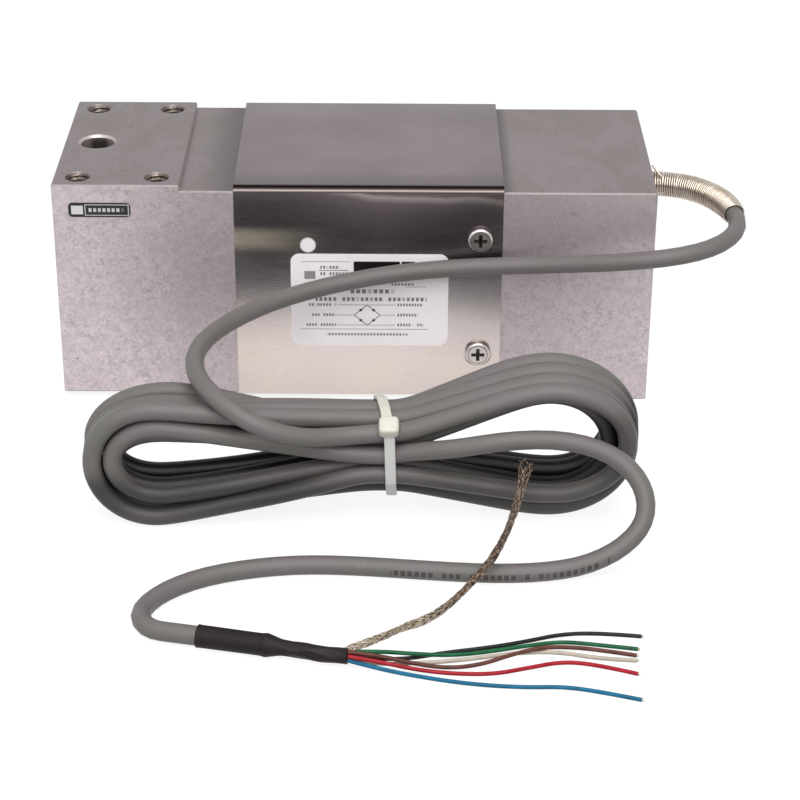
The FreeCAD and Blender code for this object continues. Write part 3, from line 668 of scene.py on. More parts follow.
@dataclass(frozen=True)
class PrintedFilm:
    """Film with a print made of boxes, lines and rows of small blocks, in millimetres from its middle."""

    mid_x: float
    mid_z: float
    blur: float = 0.07

    def _box(self, net: Net, x0: float, x1: float, z0: float, z1: float) -> Field:
        """A mask that is one inside a box and fades over the blur."""
        x, z = net.axis("X") - self.mid_x, net.axis("Z") - self.mid_z
        out_x = abs(x - (x0 + x1) / 2) - (x1 - x0) / 2
        out_z = abs(z - (z0 + z1) / 2) - (z1 - z0) / 2
        return out_x.most(out_z).rise(self.blur, -self.blur)

    def _line(self, net: Net, x0: float, x1: float, z: float, thick: float = 0.15) -> Field:
        """A thin level line."""
        return self._box(net, x0, x1, z - thick / 2, z + thick / 2) * 0.8

    def _blocks(self, net: Net, x0: float, x1: float, z: float, height: float, pitch: float) -> Field:
        """A row of plain blocks: each pitch holds one, and some are left out."""
        across = (net.axis("X") - self.mid_x + 50.0) / pitch
        place = abs(across.wrapped(1.0) - 0.5)
        cell = net.math("FLOOR", across)
        spot = net.node("ShaderNodeCombineXYZ", {}, {0: cell * 0.37 + 0.11, 1: z, 2: height}).outputs[0]
        chance = net.noise(3.1, 1.0, 0.5, 0.0, spot)
        level = abs(net.axis("Z") - self.mid_z - z) / (height / 2)
        body = place.rise(0.36, 0.28) * level.rise(0.95, 0.70) * chance.rise(0.34, 0.40)
        return self._box(net, x0, x1, z - height, z + height) * body * 0.78

    def _joined(self, marks: Sequence[Field]) -> Field:
        """The union of masks."""
        whole = marks[0]
        for mark in marks[1:]:
            whole = whole.most(mark)
        return whole


@dataclass(frozen=True)
class RatingFilm(PrintedFilm):
    """White film with a printed bridge circuit, rules, and blocks in place of words."""

    paper: Colour = shade(246, 239, 242)
    ink: Colour = shade(14, 11, 12)

    def _diamond(self, net: Net, x: float, z: float, half_x: float, half_z: float, line: float) -> Field:
        """The outline of a diamond, where |dx|/half_x + |dz|/half_z is about one, with a dot on each side."""
        dx = abs(net.axis("X") - self.mid_x - x) / half_x
        dz = abs(net.axis("Z") - self.mid_z - z) / half_z
        dots = ((dx - 0.5) ** 2.0 + (dz - 0.5) ** 2.0) ** 0.5
        return (abs(dx + dz - 1.0).rise(line * 1.7, line * 0.8) * 0.85).most(dots.rise(0.16, 0.09))

    def material(self) -> bpy.types.Material:
        """Builds the finish."""
        net = Net("rating_film")
        low, mid, high = -7.0, -4.2, -1.35
        marks = [
            self._line(net, -17.0, -4.9, 10.6), self._box(net, -4.0, 7.6, 7.4, 10.7),
            self._box(net, 8.0, 11.3, 8.9, 10.7), self._blocks(net, -12.4, -7.6, 9.05, 0.95, 0.78),
            self._line(net, -12.7, -5.3, 8.2, 0.22), self._blocks(net, -12.4, -5.0, 7.3, 0.95, 0.78),
            self._blocks(net, 5.5, 11.3, 4.4, 0.7, 0.85), self._line(net, 9.2, 14.2, 3.75),
            self._blocks(net, -5.1, 8.3, 2.45, 1.35, 1.45), self._blocks(net, -13.7, 14.5, 0.25, 1.25, 1.16),
            self._line(net, -7.9, 6.6, high), self._line(net, -8.1, 6.4, low),
            self._line(net, -8.3, -3.9, mid), self._line(net, 2.6, 6.4, mid),
            self._diamond(net, -0.62, -4.2, 3.25, 2.85, 0.045), self._line(net, -17.5, 14.7, -8.15),
            self._blocks(net, -10.9, 9.6, -9.6, 0.8, 0.82)]
        for z, x0, x1 in ((high, -15.5, -8.4), (mid, -14.7, -8.7), (low, -16.2, -8.5)):
            marks.append(self._blocks(net, x0, x1, z + 0.06, 0.9, 0.72))
        for z, x1 in ((high, 13.5), (mid, 12.1), (low, 13.6)):
            marks.append(self._blocks(net, 6.9, x1, z + 0.06, 0.9, 0.72))
        marks.append(self._box(net, -16.4, -13.6, 5.8, 8.0) * 0.7)
        ink = self._joined(marks)
        paper = net.mix(net.noise(0.09, 3.0).rise(0.4, 0.7) * 0.6, self.paper, shade(238, 230, 234))
        base = net.mix(ink, paper, self.ink)
        return net.surface(Base_Color=base, Roughness=0.42 - ink * 0.08,
                           Normal=net.relief(net.noise(0.8, 4.0), 0.01, 0.2))


@dataclass(frozen=True)
class StickerFilm:
    """A plain white sticker with a slightly grey edge."""

    mid_x: float
    mid_z: float
    radius: float

    def material(self) -> bpy.types.Material:
        """Builds the finish."""
        net = Net("sticker_film")
        x, z = net.axis("X") - self.mid_x, net.axis("Z") - self.mid_z
        out = (x * x + z * z) ** 0.5
        base = net.mix(out.rise(self.radius - 0.35, self.radius), shade(240, 234, 237), shade(184, 178, 180))
        base = net.mix(net.noise(0.6, 3.0).rise(0.5, 0.75) * 0.4, base, shade(212, 206, 208))
        return net.surface(Base_Color=base, Roughness=0.42)


@dataclass(frozen=True)
class TagFilm(PrintedFilm):
    """Black film with a pale block, and a pale keyline round a row of small blocks."""

    half_x: float = 7.7
    half_z: float = 1.9
    inset: float = 0.5
    line: float = 0.14

    def material(self) -> bpy.types.Material:
        """Builds the finish."""
        net = Net("tag_film")
        left, right = -self.half_x + 4.2, self.half_x - self.inset
        x, z = net.axis("X") - (self.mid_x + (left + right) / 2), net.axis("Z") - self.mid_z
        edge = (abs(x) - (right - left) / 2).most(abs(z) - (self.half_z - self.inset))
        pale = self._joined([
            abs(edge).rise(self.line, self.line * 0.4) * 0.8,
            self._box(net, -self.half_x + 0.75, left - 0.55, -1.15, 1.15) * 0.9,
            self._blocks(net, left + 0.7, right - 0.8, 0.0, 1.2, 1.15)])
        wear = net.noise(0.9, 5.0, 0.7)
        base = net.mix(wear.rise(0.45, 0.8) * 0.5, shade(14, 12, 14), shade(30, 27, 29))
        base = net.mix(pale, base, shade(222, 218, 218))
        return net.surface(Base_Color=base, Roughness=0.38 + wear * 0.12)


@dataclass(frozen=True)
class NaturalNylon:
    """Milky nylon, a little clouded."""

    base: Colour = shade(206, 203, 192)

    def material(self) -> bpy.types.Material:
        """Builds the finish."""
        net = Net("natural_nylon")
        cloud = net.noise(0.5, 4.0, 0.6)
        teeth = (net.axis("Z") + net.axis("Y")).wrapped(0.9) / 0.9
        base = net.mix(cloud.rise(0.45, 0.75) * 0.5, self.base, shade(196, 192, 180))
        base = net.mix(net.axis("Z").rise(26.0, 24.5) * 0.8, base, shade(206, 206, 206))
        return net.surface(Base_Color=base, Roughness=0.34 + cloud * 0.1, Subsurface_Weight=0.15,
                           Subsurface_Scale=0.002, Normal=net.relief(teeth, 0.05, 0.12))


@dataclass(frozen=True)
class ShrunkSleeve:
    """Dark shrunk sleeving: matt over the jacket, glossier and wrinkled at the neck."""

    base: Colour = shade(17, 11, 11)

    def material(self) -> bpy.types.Material:
        """Builds the finish."""
        net = Net("shrunk_sleeve")
        folds = net.noise(0.9, 4.0, 0.6, 0.8)
        neck = net.axis("X").rise(-17.0, -11.0)
        base = net.mix(folds.rise(0.4, 0.7), self.base, shade(29, 20, 19))
        base = net.mix(neck * 0.5, base, shade(28, 14, 17))
        return net.surface(Base_Color=base, Roughness=0.50 - neck * 0.14 + folds * 0.1,
                           Specular_IOR_Level=0.22, Normal=net.relief(folds, 0.25, 0.35))


@dataclass(frozen=True)
class Insulation:
    """Thin glossy PVC of one colour, with slight fading."""

    name: str
    base: Colour
    faded: Colour

    def material(self) -> bpy.types.Material:
        """Builds the finish."""
        net = Net(self.name)
        tone = net.noise(0.3, 3.0)
        base = net.mix(tone.rise(0.35, 0.7), self.base, self.faded)
        return net.surface(Base_Color=base, Roughness=0.34 + tone * 0.12, Specular_IOR_Level=0.22,
                           Normal=net.relief(net.noise(1.6, 3.0), 0.02, 0.3))


@dataclass(frozen=True)
class TinnedCopper:
    """Tinned copper strands with brown dulling."""

    bright: Colour = shade(182, 172, 156)
    base: Colour = shade(134, 119, 106)
    brown: Colour = shade(70, 54, 45)

    def material(self) -> bpy.types.Material:
        """Builds the finish."""
        net = Net("tinned_copper")
        tone = net.noise(1.3, 4.0, 0.7)
        clean = net.axis("Y").rise(-128.0, -142.0)
        dull = net.mix(clean, self.brown, shade(138, 122, 104))
        base = net.mix(tone.rise(0.38, 0.62), net.mix(clean, self.base, self.bright), dull)
        return net.surface(Base_Color=base, Metallic=0.85, Roughness=0.30 + tone * 0.2)


@dataclass(frozen=True)
class PlainBody:
    """A plain moulded or coated piece inside the beam, with a faint grain."""

    name: str
    base: Colour
    second: Colour
    rough: float = 0.5
    scale: float = 0.8

    def material(self) -> bpy.types.Material:
        """Builds the finish."""
        net = Net(self.name)
        tone = net.noise(self.scale, 4.0, 0.6)
        base = net.mix(tone.rise(0.4, 0.65), self.base, self.second)
        return net.surface(Base_Color=base, Roughness=self.rough + tone * 0.1,
                           Normal=net.relief(tone, 0.05, 0.3))


# The cable.


@dataclass
class Hank:
    """Seven turns of cable, flat side by side in four layers, drawn in at the waist by the tie."""

    diameter: float = 4.4
    waist_x: float = 8.0
    front_y: float = -92.7
    contact: float = 4.52
    spacing: float = 3.2
    # Over how much length a strand drifts to its layer, and how many neighbours along it don't push.
    drift: float = 30.0
    neighbours: int = 7
    # Where the tie's grip starts to fade and over how much, the points that join the leads, and damping.
    grip_from: float = 2.0
    grip_over: float = 8.0
    join: float = 6.0
    damping: float = 0.998

    # How far the strands stay level on each side of the tie.
    waist = {End.LEFT: 6.0, End.RIGHT: 4.6}
    # Heights of the four rows in the tie, for each layer from the front; the front layer has no third.
    rows = ((24.7, 18.7, 16.2, 13.8), (25.9, 20.2, 14.5, 9.3), (25.8, 20.1, 14.4, 9.3),
            (23.9, 18.9, 13.9, 8.9))
    # The tie place, as row and layer, between one pass and the next: right, left, right and so on.
    places = ((0, 0), (3, 0), (0, 1), (3, 1), (0, 2), (3, 2), (0, 3), (3, 3),
              (1, 3), (2, 3), (1, 2), (2, 2), (1, 1), (2, 1), (1, 0))
    # Ring and layer of each pass, in the same order.
    passes = ((Ring.OUTER, 0), (Ring.OUTER, 0), (Ring.OUTER, 1), (Ring.OUTER, 1), (Ring.OUTER, 2),
              (Ring.OUTER, 2), (Ring.OUTER, 3), (Ring.OUTER, 3), (Ring.INNER, 3), (Ring.INNER, 2),
              (Ring.INNER, 2), (Ring.INNER, 1), (Ring.INNER, 1), (Ring.INNER, 0))
    # Lowest and highest point of each pass's oval, and how far it sits behind its layer.
    ovals = {
        (End.LEFT, Ring.OUTER): ((2.2, 30.4, 0.0), (2.2, 28.6, 0.0), (2.2, 27.4, 0.0), (2.2, 28.6, 0.0)),
        (End.LEFT, Ring.INNER): ((7.5, 25.7, 0.0), (7.5, 22.1, 0.0), (9.0, 22.0, 0.0)),
        (End.RIGHT, Ring.OUTER): ((8.4, 35.7, 0.0), (2.6, 35.4, 0.0), (2.2, 36.3, 0.0), (2.2, 36.8, 0.0)),
        (End.RIGHT, Ring.INNER): ((9.0, 31.0, 0.0), (7.2, 32.4, 2.2), (9.2, 31.9, 1.8), (8.3, 31.6, 0.0)),
    }
    # Middle x, its shift with each layer, the half length of the outer and the inner ring, and how much
    # further the ovals draw in towards the tie: the outer ones by layer, the inner ones all alike.
    middles = {End.LEFT: (-45.9, -0.45, 14.2, 9.5, 1.6), End.RIGHT: (46.5, 0.5, 17.8, 13.5, 0.7)}

    def layer_y(self, layer: int) -> float:
        """The middle of a layer, counted from the front."""
        return self.front_y + layer * self.diameter

    def tied(self, place: Tuple[int, int]) -> Point:
        """The middle of the cable at a tie place, given as row and layer."""
        return self.waist_x, self.layer_y(place[1]), self.rows[place[1]][place[0]]

    def oval(self, end: End, ring: Ring, layer: int) -> Tuple[float, float, float, float, float]:
        """Middle x, middle z, half length, half height and set-back of a pass's oval."""
        low, high, back = self.ovals[end, ring][layer]
        middle, shift, outer, inner, drawn = self.middles[end]
        reach = outer if ring is Ring.OUTER else inner
        drawn = drawn * layer if ring is Ring.OUTER else drawn
        middle += shift * layer - end.value * drawn
        return middle, (low + high) / 2, reach + drawn, (high - low) / 2, back

    def pass_points(self, end: End, ring: Ring, layer: int, start: Tuple[int, int],
                    finish: Tuple[int, int]) -> np.ndarray:
        """One pass: out from the tie, round an oval, and back to the tie.

        With the oval scaled to a circle of radius one, the side from a point at distance d touches
        it at acos(1/d) from the point's own bearing; the round part runs clockwise between the two
        touching points. The layer changes by a smooth step over the first half of each side.

        Args:
            end: which end of the hank.
            ring: inner or outer ring.
            layer: the oval's layer.
            start: row and layer at the tie before the pass.
            finish: row and layer at the tie after it.

        Returns:
            Control points, one row each.
        """
        cx, cz, a, b, back = self.oval(end, ring, layer)
        (_, y0, z0), (_, y1, z1) = self.tied(start), self.tied(finish)
        leave = self.waist_x + end.value * self.waist[end]
        first = np.array([(leave - cx) / a, (z0 - cz) / b])
        last = np.array([(leave - cx) / a, (z1 - cz) / b])
        begin = math.atan2(first[1], first[0]) - math.acos(1 / np.hypot(*first))
        stop = math.atan2(last[1], last[0]) + math.acos(1 / np.hypot(*last))
        stop -= 2 * math.pi * math.ceil((stop - begin) / (2 * math.pi))
        turn = np.linspace(begin, stop, 10)
        arc = np.column_stack([np.cos(turn), np.sin(turn)])
        share = np.array([0.0, 0.34, 0.68])[:, None]
        flat = np.vstack([first + (arc[0] - first) * share, arc,
                          arc[-1] + (last - arc[-1]) * (1 - share[::-1])])
        x, z = cx + a * flat[:, 0], cz + b * flat[:, 1]
        away = eased((x - leave) * end.value, 0.0, self.drift)
        half = np.arange(len(x)) < len(x) / 2
        tied = np.where(half, y0, y1)
        return np.column_stack([x, tied + (self.layer_y(layer) + back - tied) * away, z])

    def designed(self) -> np.ndarray:
        """Control points of all passes, with a point in the middle of the tie before each."""
        parts = []
        for count, (ring, layer) in enumerate(self.passes):
            start, finish = self.places[count], self.places[count + 1]
            end = End.RIGHT if count % 2 == 0 else End.LEFT
            parts.append([self.tied(start)])
            parts.append(self.pass_points(end, ring, layer, start, finish))
        return np.vstack(parts + [[self.tied(self.places[-1])]])

    def settled(self, before: np.ndarray, after: np.ndarray, rounds: int = 220) -> np.ndarray:
        """The designed line after its strands have pushed each other apart.

        In each round, every two points of the line that are closer than the contact distance and not
        neighbours along it move apart by half of what is missing. The shift is then smoothed along
        the line, held at nought in the tie and where the free leads join, and kept above the floor.

        Args:
            before: the lead's last stretch, which pushes but doesn't move.
            after: the tail's first stretch, likewise.
            rounds: how many rounds.

        Returns:
            Points along the hank, one row each.
        """
        home = even_line(round_line(self.designed()), self.spacing)
        fixed = np.vstack([even_line(before, self.spacing), even_line(after, self.spacing)])
        count = len(home)
        near = np.abs(np.arange(count)[:, None] - np.arange(count)[None, :]) < self.neighbours
        grip = np.clip((np.abs(home[:, 0] - self.waist_x) - self.grip_from) / self.grip_over, 0.0, 1.0)
        ends = np.clip(np.minimum(np.arange(count), np.arange(count)[::-1]) / self.join, 0, 1)
        hold = (grip * ends)[:, None]
        shift = np.zeros_like(home)
        for _ in range(rounds):
            line = home + shift
            gap = line[:, None] - line[None, :]
            distance = np.sqrt((gap ** 2).sum(-1)) + 1e-9
            lack = np.where((distance < self.contact) & ~near, self.contact - distance, 0.0)
            push = (gap / distance[..., None] * lack[..., None]).sum(1) * 0.5
            touched = np.maximum((lack > 0).sum(1), 1)[:, None]
            out = line[:, None] - fixed[None, :]
            away = np.sqrt((out ** 2).sum(-1)) + 1e-9
            miss = np.where(away < self.contact, self.contact - away, 0.0)
            shove = (out / away[..., None] * miss[..., None]).sum(1)
            shift = shift + push / np.sqrt(touched) + 0.5 * shove
            shift[1:-1] = 0.25 * shift[:-2] + 0.5 * shift[1:-1] + 0.25 * shift[2:]
            shift *= hold * self.damping
            shift[:, 2] = np.maximum(home[:, 2] + shift[:, 2], self.diameter / 2) - home[:, 2]
        line = home + shift
        gap = np.sqrt(((line[:, None] - line[None, :]) ** 2).sum(-1)) + 100.0 * near
        LOG.info("hank: %d points, closest strands %.2f mm", count, gap.min())
        return line


@dataclass
class SignalCable:
    """The whole outer cable in one spline: lead, hank and tail."""

    hank: Hank
    diameter: float = 4.4

    # The lead from the beam's end face, across the front of the cover and over the hank.
    lead = ((75.0, 0.0, 48.2), (82.5, 0.0, 48.2), (91.0, -7.0, 48.4), (96.0, -17.0, 47.9),
            (96.0, -28.0, 47.3), (89.5, -36.8, 46.6), (79.0, -40.9, 45.6), (64.5, -39.4, 43.4),
            (46.5, -33.4, 40.0), (27.0, -32.4, 38.9), (7.0, -32.7, 36.9), (-10.5, -37.4, 34.9),
            (-22.5, -45.2, 34.1), (-31.5, -56.2, 34.0), (-36.6, -69.5, 34.8), (-36.6, -82.5, 35.2),
            (-31.8, -93.6, 34.8), (-23.2, -99.4, 30.8), (-12.6, -98.9, 26.4), (-3.0, -93.6, 24.0))
    # The tail from the tie, down in front of the hank and along the floor to the sleeve.
    tail = ((13.0, -93.4, 20.0), (24.0, -98.0, 23.4), (36.0, -98.8, 26.2), (48.0, -98.4, 26.3),
            (58.0, -99.3, 24.0), (64.6, -102.0, 20.0), (67.4, -106.0, 15.2), (66.4, -110.0, 10.5),
            (61.2, -113.3, 6.3), (53.0, -115.7, 3.3), (43.0, -116.9, 2.25), (31.0, -117.3, 2.2),
            (17.0, -116.0, 2.2), (3.0, -114.3, 2.2), (-10.5, -113.7, 2.2), (-22.5, -115.6, 2.2),
            (-33.6, -119.6, 2.2), (-41.8, -126.2, 2.2), (-45.8, -134.2, 2.25), (-43.0, -140.8, 2.4),
            (-35.8, -142.607, 2.65), (-27.03, -144.616, 2.65))

    def build(self, material: bpy.types.Material) -> bpy.types.Object:
        """Makes the cable's spline.

        Args:
            material: the jacket's finish.

        Returns:
            The curve object, which stands for the lead, hank and tail of the frame.
        """
        lead, tail = np.array(self.lead), np.array(self.tail)
        winding = self.hank.settled(round_line(lead[-9:]), round_line(tail[:10]))
        route = np.vstack([lead, winding, tail])
        cable = spline_of("signal_cable", route, self.diameter, 5, 3)
        dressed(cable, material)
        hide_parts("cable_lead", "cable_hank", "cable_tail")
        LOG.info("signal_cable: %.0f mm long", length_of(line_of(cable)))
        return cable


def squared(angle: np.ndarray, power: float) -> Tuple[np.ndarray, np.ndarray]:
    """Cosine and sine drawn towards a square: sign(c) |c|^(2/power), and the same for the sine."""
    both = []
    for wave in (np.cos(angle), np.sin(angle)):
        both.append(np.sign(wave) * np.abs(wave) ** (2 / power))
    return both[0], both[1]


@dataclass
class CableTie:
    """The nylon tie: a flat strap pulled round the strands, and the block that locks it."""

    hank: Hank
    width: float = 2.5
    thickness: float = 1.0
    slack: float = 0.08
    head: Point = (4.7, 4.5, 3.3)
    head_place: Point = (8.8, -94.95, 27.4)
    head_tilt: float = 60.0

    def strap(self) -> np.ndarray:
        """The strap as a closed band on the hull of the strands.

        For each direction n in the YZ plane the strap touches the strand whose centre c has the
        largest c.n, at c + r n. Its middle x leans: 9.4 at the lower front, less by 0.15 for each
        millimetre towards the back over the top. The section is a squared circle, width by thickness.

        Returns:
            Points in millimetres, [round the strands, round the section].
        """
        centres = np.array([self.hank.tied(place)[1:] for place in self.hank.places])
        turn = np.linspace(0, 2 * np.pi, 144, endpoint=False)
        out = np.column_stack([np.cos(turn), np.sin(turn)])
        touched = centres[(out @ centres.T).argmax(axis=1)]
        c, s = squared(np.linspace(0, 2 * np.pi, 16, endpoint=False), 5.0)
        reach = self.hank.diameter / 2 + self.slack + self.thickness * (1 + s) / 2
        yz = touched[:, None] + reach[None, :, None] * out[:, None]
        rim = touched + self.hank.diameter / 2 * out
        x = 9.4 - 0.03 * (rim[:, 1] - 10.0) - 0.15 * (rim[:, 0] + 95.0) * eased(rim[:, 1], 8.0, 18.0)
        return np.dstack([x[:, None] + self.width / 2 * c, yz[..., 0], yz[..., 1]])

    def block(self) -> np.ndarray:
        """The head: a box with rounded faces, |x/a|^n + |y/b|^n + |z/c|^n = 1 with n about five.

        Returns:
            Points in millimetres, [from its back to its front, round it].
        """
        tilt = math.radians(self.head_tilt)
        across, out = np.array([1.0, 0.0, 0.0]), np.array([0.0, -math.cos(tilt), math.sin(tilt)])
        c, s = squared(np.linspace(0, 2 * np.pi, 48, endpoint=False), 4.5)
        ring, level = squared(np.linspace(-1.5, 1.5, 33), 4.5)
        a, b, depth = (size / 2 for size in self.head)
        flat = c[:, None] * a * across + s[:, None] * b * np.cross(out, across)
        return np.array(self.head_place) + ring[:, None, None] * flat + level[:, None, None] * depth * out

    def build(self, material: bpy.types.Material) -> bpy.types.Object:
        """Makes the tie.

        Args:
            material: the nylon's finish.

        Returns:
            The strap, which stands for the frame's tie.
        """
        strap = dressed(mesh_of("tie_strap", [self.strap()], ring=True), material)
        dressed(mesh_of("tie_head", [self.block()]), material)
        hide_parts("cable_tie")
        LOG.info("cable tie: strap and head")
        return strap


@dataclass
class BendSpring:
    """The close-wound spring over the cable's first bend, sprung a little open on the outside."""

    wire: float = 0.55
    inner: Tuple[float, float, float] = (2.75, 2.70, 2.3)
    turns: int = 56
    inside: float = 2.5
    reach: float = 31.0
    steps: int = 26
    sample: float = 0.2

    def build(self, cable_line: np.ndarray, material: bpy.types.Material) -> bpy.types.Object:
        """Makes the coil: a helix round the cable's own line, and a round wire along the helix.

        The helix is centre + r (cos a side + sin a rise), with a growing by one turn each pitch.

        Args:
            cable_line: the cable's centreline, from the beam's end face on.
            material: the wire's finish.

        Returns:
            The mesh object, which stands for the frame's plain sleeve.
        """
        head = cable_line[0] - np.array([[self.inside, 0.0, 0.0]])
        centre = even_line(np.vstack([head, cable_line]), self.sample)
        centre = centre[: int(round((self.inside + self.reach) / self.sample)) + 1]
        share = np.linspace(0, 1, self.turns * self.steps + 1)
        at = share * (len(centre) - 1)
        line = np.column_stack([np.interp(at, np.arange(len(centre)), centre[:, k]) for k in range(3)])
        _, side, rise = frames_along(line)
        a = 2 * np.pi * self.turns * share[:, None]
        out = np.cos(a) * side + np.sin(a) * rise
        inner = np.interp(share, [0.0, 0.8, 1.0], self.inner)[:, None]
        helix = line + (inner + self.wire / 2) * out
        along = unit(np.gradient(helix, axis=0))
        across = unit(out - along * (out * along).sum(1, keepdims=True))
        b = np.linspace(0, 2 * np.pi, 7, endpoint=False)[None, :, None]
        upright = np.cross(along, across)
        grid = helix[:, None] + self.wire / 2 * (np.cos(b) * across[:, None] + np.sin(b) * upright[:, None])
        mouth = np.array([[79.0, -2.7, 51.1], [78.2, -2.4, 51.8], [77.4, -1.5, 52.6], [76.6, -0.6, 53.4]])
        end = tube_grid(round_line(mouth), np.full(17, self.wire / 2), 8)
        coil = dressed(mesh_of("bend_spring", [grid, end]), material)
        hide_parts("spring_sleeve")
        LOG.info("bend_spring: %d turns of %.2f mm wire", self.turns, self.wire)
        return coil


@dataclass
class CableEnd:
    """The shrunk sleeve, the six cores and the twisted screen."""

    sleeve_start: Point = (-31.9, -143.5, 2.65)
    yaw: float = -12.9
    sleeve_length: float = 33.1
    # The sleeve's radius over the jacket and its fall at the neck, and where it falls and slims.
    jacket_radius: float = 2.47
    neck_fall: float = 0.74
    fall_at: float = 15.4
    fall_over: float = 4.0
    slim_at: float = 24.0
    slim_over: float = 9.1
    wire_diameter: float = 0.95
    braid_diameter: float = 1.8
    strand: float = 0.26
    strands: int = 16

    routes = {
        "black": ((0.4, -150.02, 2.14), (7.0, -149.9, 1.2), (13.5, -148.6, 0.5), (20.5, -146.4, 0.5),
                  (30.0, -144.4, 0.5), (38.0, -142.1, 0.5), (46.5, -138.9, 0.5), (55.0, -138.5, 0.5),
                  (63.7, -139.7, 0.5)),
        "green": ((0.4, -150.02, 3.16), (7.0, -149.0, 2.6), (14.0, -148.5, 1.7), (22.0, -147.7, 0.7),
                  (30.0, -146.0, 0.5), (38.0, -143.7, 0.5), (46.0, -141.8, 0.5), (54.0, -143.0, 0.5),
                  (62.5, -144.6, 0.5)),
        "brown": ((0.4, -150.9, 3.67), (7.0, -150.7, 2.7), (14.5, -151.6, 1.2), (22.0, -152.2, 0.5),
                  (29.0, -151.0, 0.8), (35.0, -148.6, 1.6), (41.5, -145.7, 1.6), (48.5, -144.1, 0.6),
                  (55.0, -145.2, 0.5), (62.0, -147.0, 0.5)),
        "white": ((0.4, -150.9, 1.63), (7.0, -151.1, 0.7), (14.5, -150.3, 0.5), (22.0, -149.5, 0.5),
                  (30.0, -147.8, 0.5), (38.0, -145.9, 0.5), (46.0, -145.9, 0.5), (54.0, -148.3, 0.5),
                  (61.8, -148.9, 0.5)),
        "red": ((0.4, -151.78, 3.16), (7.0, -152.1, 2.1), (14.5, -153.2, 0.9), (22.0, -154.1, 0.5),
                (31.0, -154.3, 0.5), (38.5, -151.9, 0.5), (46.0, -149.4, 0.5), (53.5, -150.6, 0.5),
                (61.7, -153.9, 0.5)),
        "blue": ((0.4, -151.78, 2.14), (7.0, -153.0, 0.9), (14.0, -154.8, 0.5), (22.0, -157.0, 0.5),
                 (30.0, -158.4, 0.5), (38.0, -159.0, 0.5), (46.0, -158.7, 0.5), (54.0, -160.7, 0.5),
                 (61.6, -163.3, 0.5)),
    }
    braid_route = ((-0.8, -150.3, 3.4), (7.2, -146.5, 4.3), (12.1, -141.0, 3.4), (17.3, -137.4, 3.0),
                   (22.1, -132.5, 3.6), (27.0, -127.0, 5.6), (31.4, -121.9, 8.0), (35.1, -114.9, 10.8),
                   (37.8, -107.7, 14.6), (39.2, -103.4, 17.8), (40.2, -99.7, 21.6))
    colours = {
        "black": (shade(12, 15, 14), shade(24, 27, 25)),
        "green": (shade(5, 76, 42), shade(16, 96, 56)),
        "brown": (shade(80, 41, 34), shade(104, 62, 51)),
        "white": (shade(172, 164, 150), shade(186, 176, 162)),
        "red": (shade(150, 12, 28), shade(168, 26, 42)),
        "blue": (shade(2, 86, 120), shade(14, 106, 140)),
    }

    def sleeve(self, material: bpy.types.Material) -> bpy.types.Object:
        """Makes the sleeve: a radius that steps down past a ridge, with shallow folds at the neck.

        The radius falls by smooth steps from the jacket to the neck, plus a narrow bell at the ridge
        and at the mouth, plus folds that grow towards the neck: a sum of two sines in angle and way.

        Args:
            material: the sleeve's finish.

        Returns:
            The mesh object.
        """
        way = np.linspace(0, self.sleeve_length, 120)
        angle = np.linspace(0, 2 * np.pi, 36, endpoint=False)
        fall = eased(way, self.fall_at, self.fall_over)
        slim = np.clip((way - self.slim_at) / self.slim_over, 0, 1)
        radius = self.jacket_radius - self.neck_fall * fall - 0.06 * slim
        radius += 0.16 * np.exp(-((way - 15.2) / 0.7) ** 2) + 0.05 * np.exp(-(way / 0.5) ** 2)
        far = way[:, None]
        waves = 0.07 * np.sin(3 * angle + 0.55 * far) + 0.05 * np.sin(5 * angle - 0.9 * far)
        folds = fall[:, None] * waves
        folds = folds + 0.03 * np.sin(2 * angle + 0.2 * far)
        yaw = math.radians(self.yaw)
        along = np.array([math.cos(yaw), math.sin(yaw), 0.0])
        sag = np.column_stack([np.zeros_like(way), -0.25 * fall, -0.12 * np.sin(np.pi * slim)])
        line = np.array(self.sleeve_start) + way[:, None] * along + sag
        shell = tube_grid(line, radius[:, None] + folds, len(angle))
        lip = line[:1] + along * np.array([[0.0], [0.4]])
        mouth = tube_grid(lip, np.array([2.2, 2.2]), len(angle))[:1]
        grid = np.concatenate([mouth, shell])
        return dressed(mesh_of("shrunk_sleeve", [grid]), material)

    def wires(self) -> List[bpy.types.Object]:
        """Makes the six cores, each one spline; their bright cut ends are made by tips."""
        made = []
        for name, points in self.routes.items():
            wire = spline_of("core_" + name, np.array(points), self.wire_diameter, 3, 8)
            finish = Insulation("insulation_" + name, *self.colours[name])
            dressed(wire, finish.material())
            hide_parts("wire_" + name)
            made.append(wire)
            LOG.info("core_%s: %.1f mm", name, length_of(line_of(wire)))
        return made

    def tips(self, wires: Sequence[bpy.types.Object], material: bpy.types.Material) -> bpy.types.Object:
        """Makes the cut copper that shows at each core's end: a short rounded stub."""
        grids = []
        for wire in wires:
            line = line_of(wire)
            along = unit((line[-1] - line[-2])[None])[0]
            way = np.array([-0.3, 0.30, 0.42, 0.46])
            grids.append(tube_grid(line[-1] + way[:, None] * along, np.array([0.3, 0.3, 0.22, 0.02]), 10))
        return dressed(mesh_of("core_tips", grids), material)

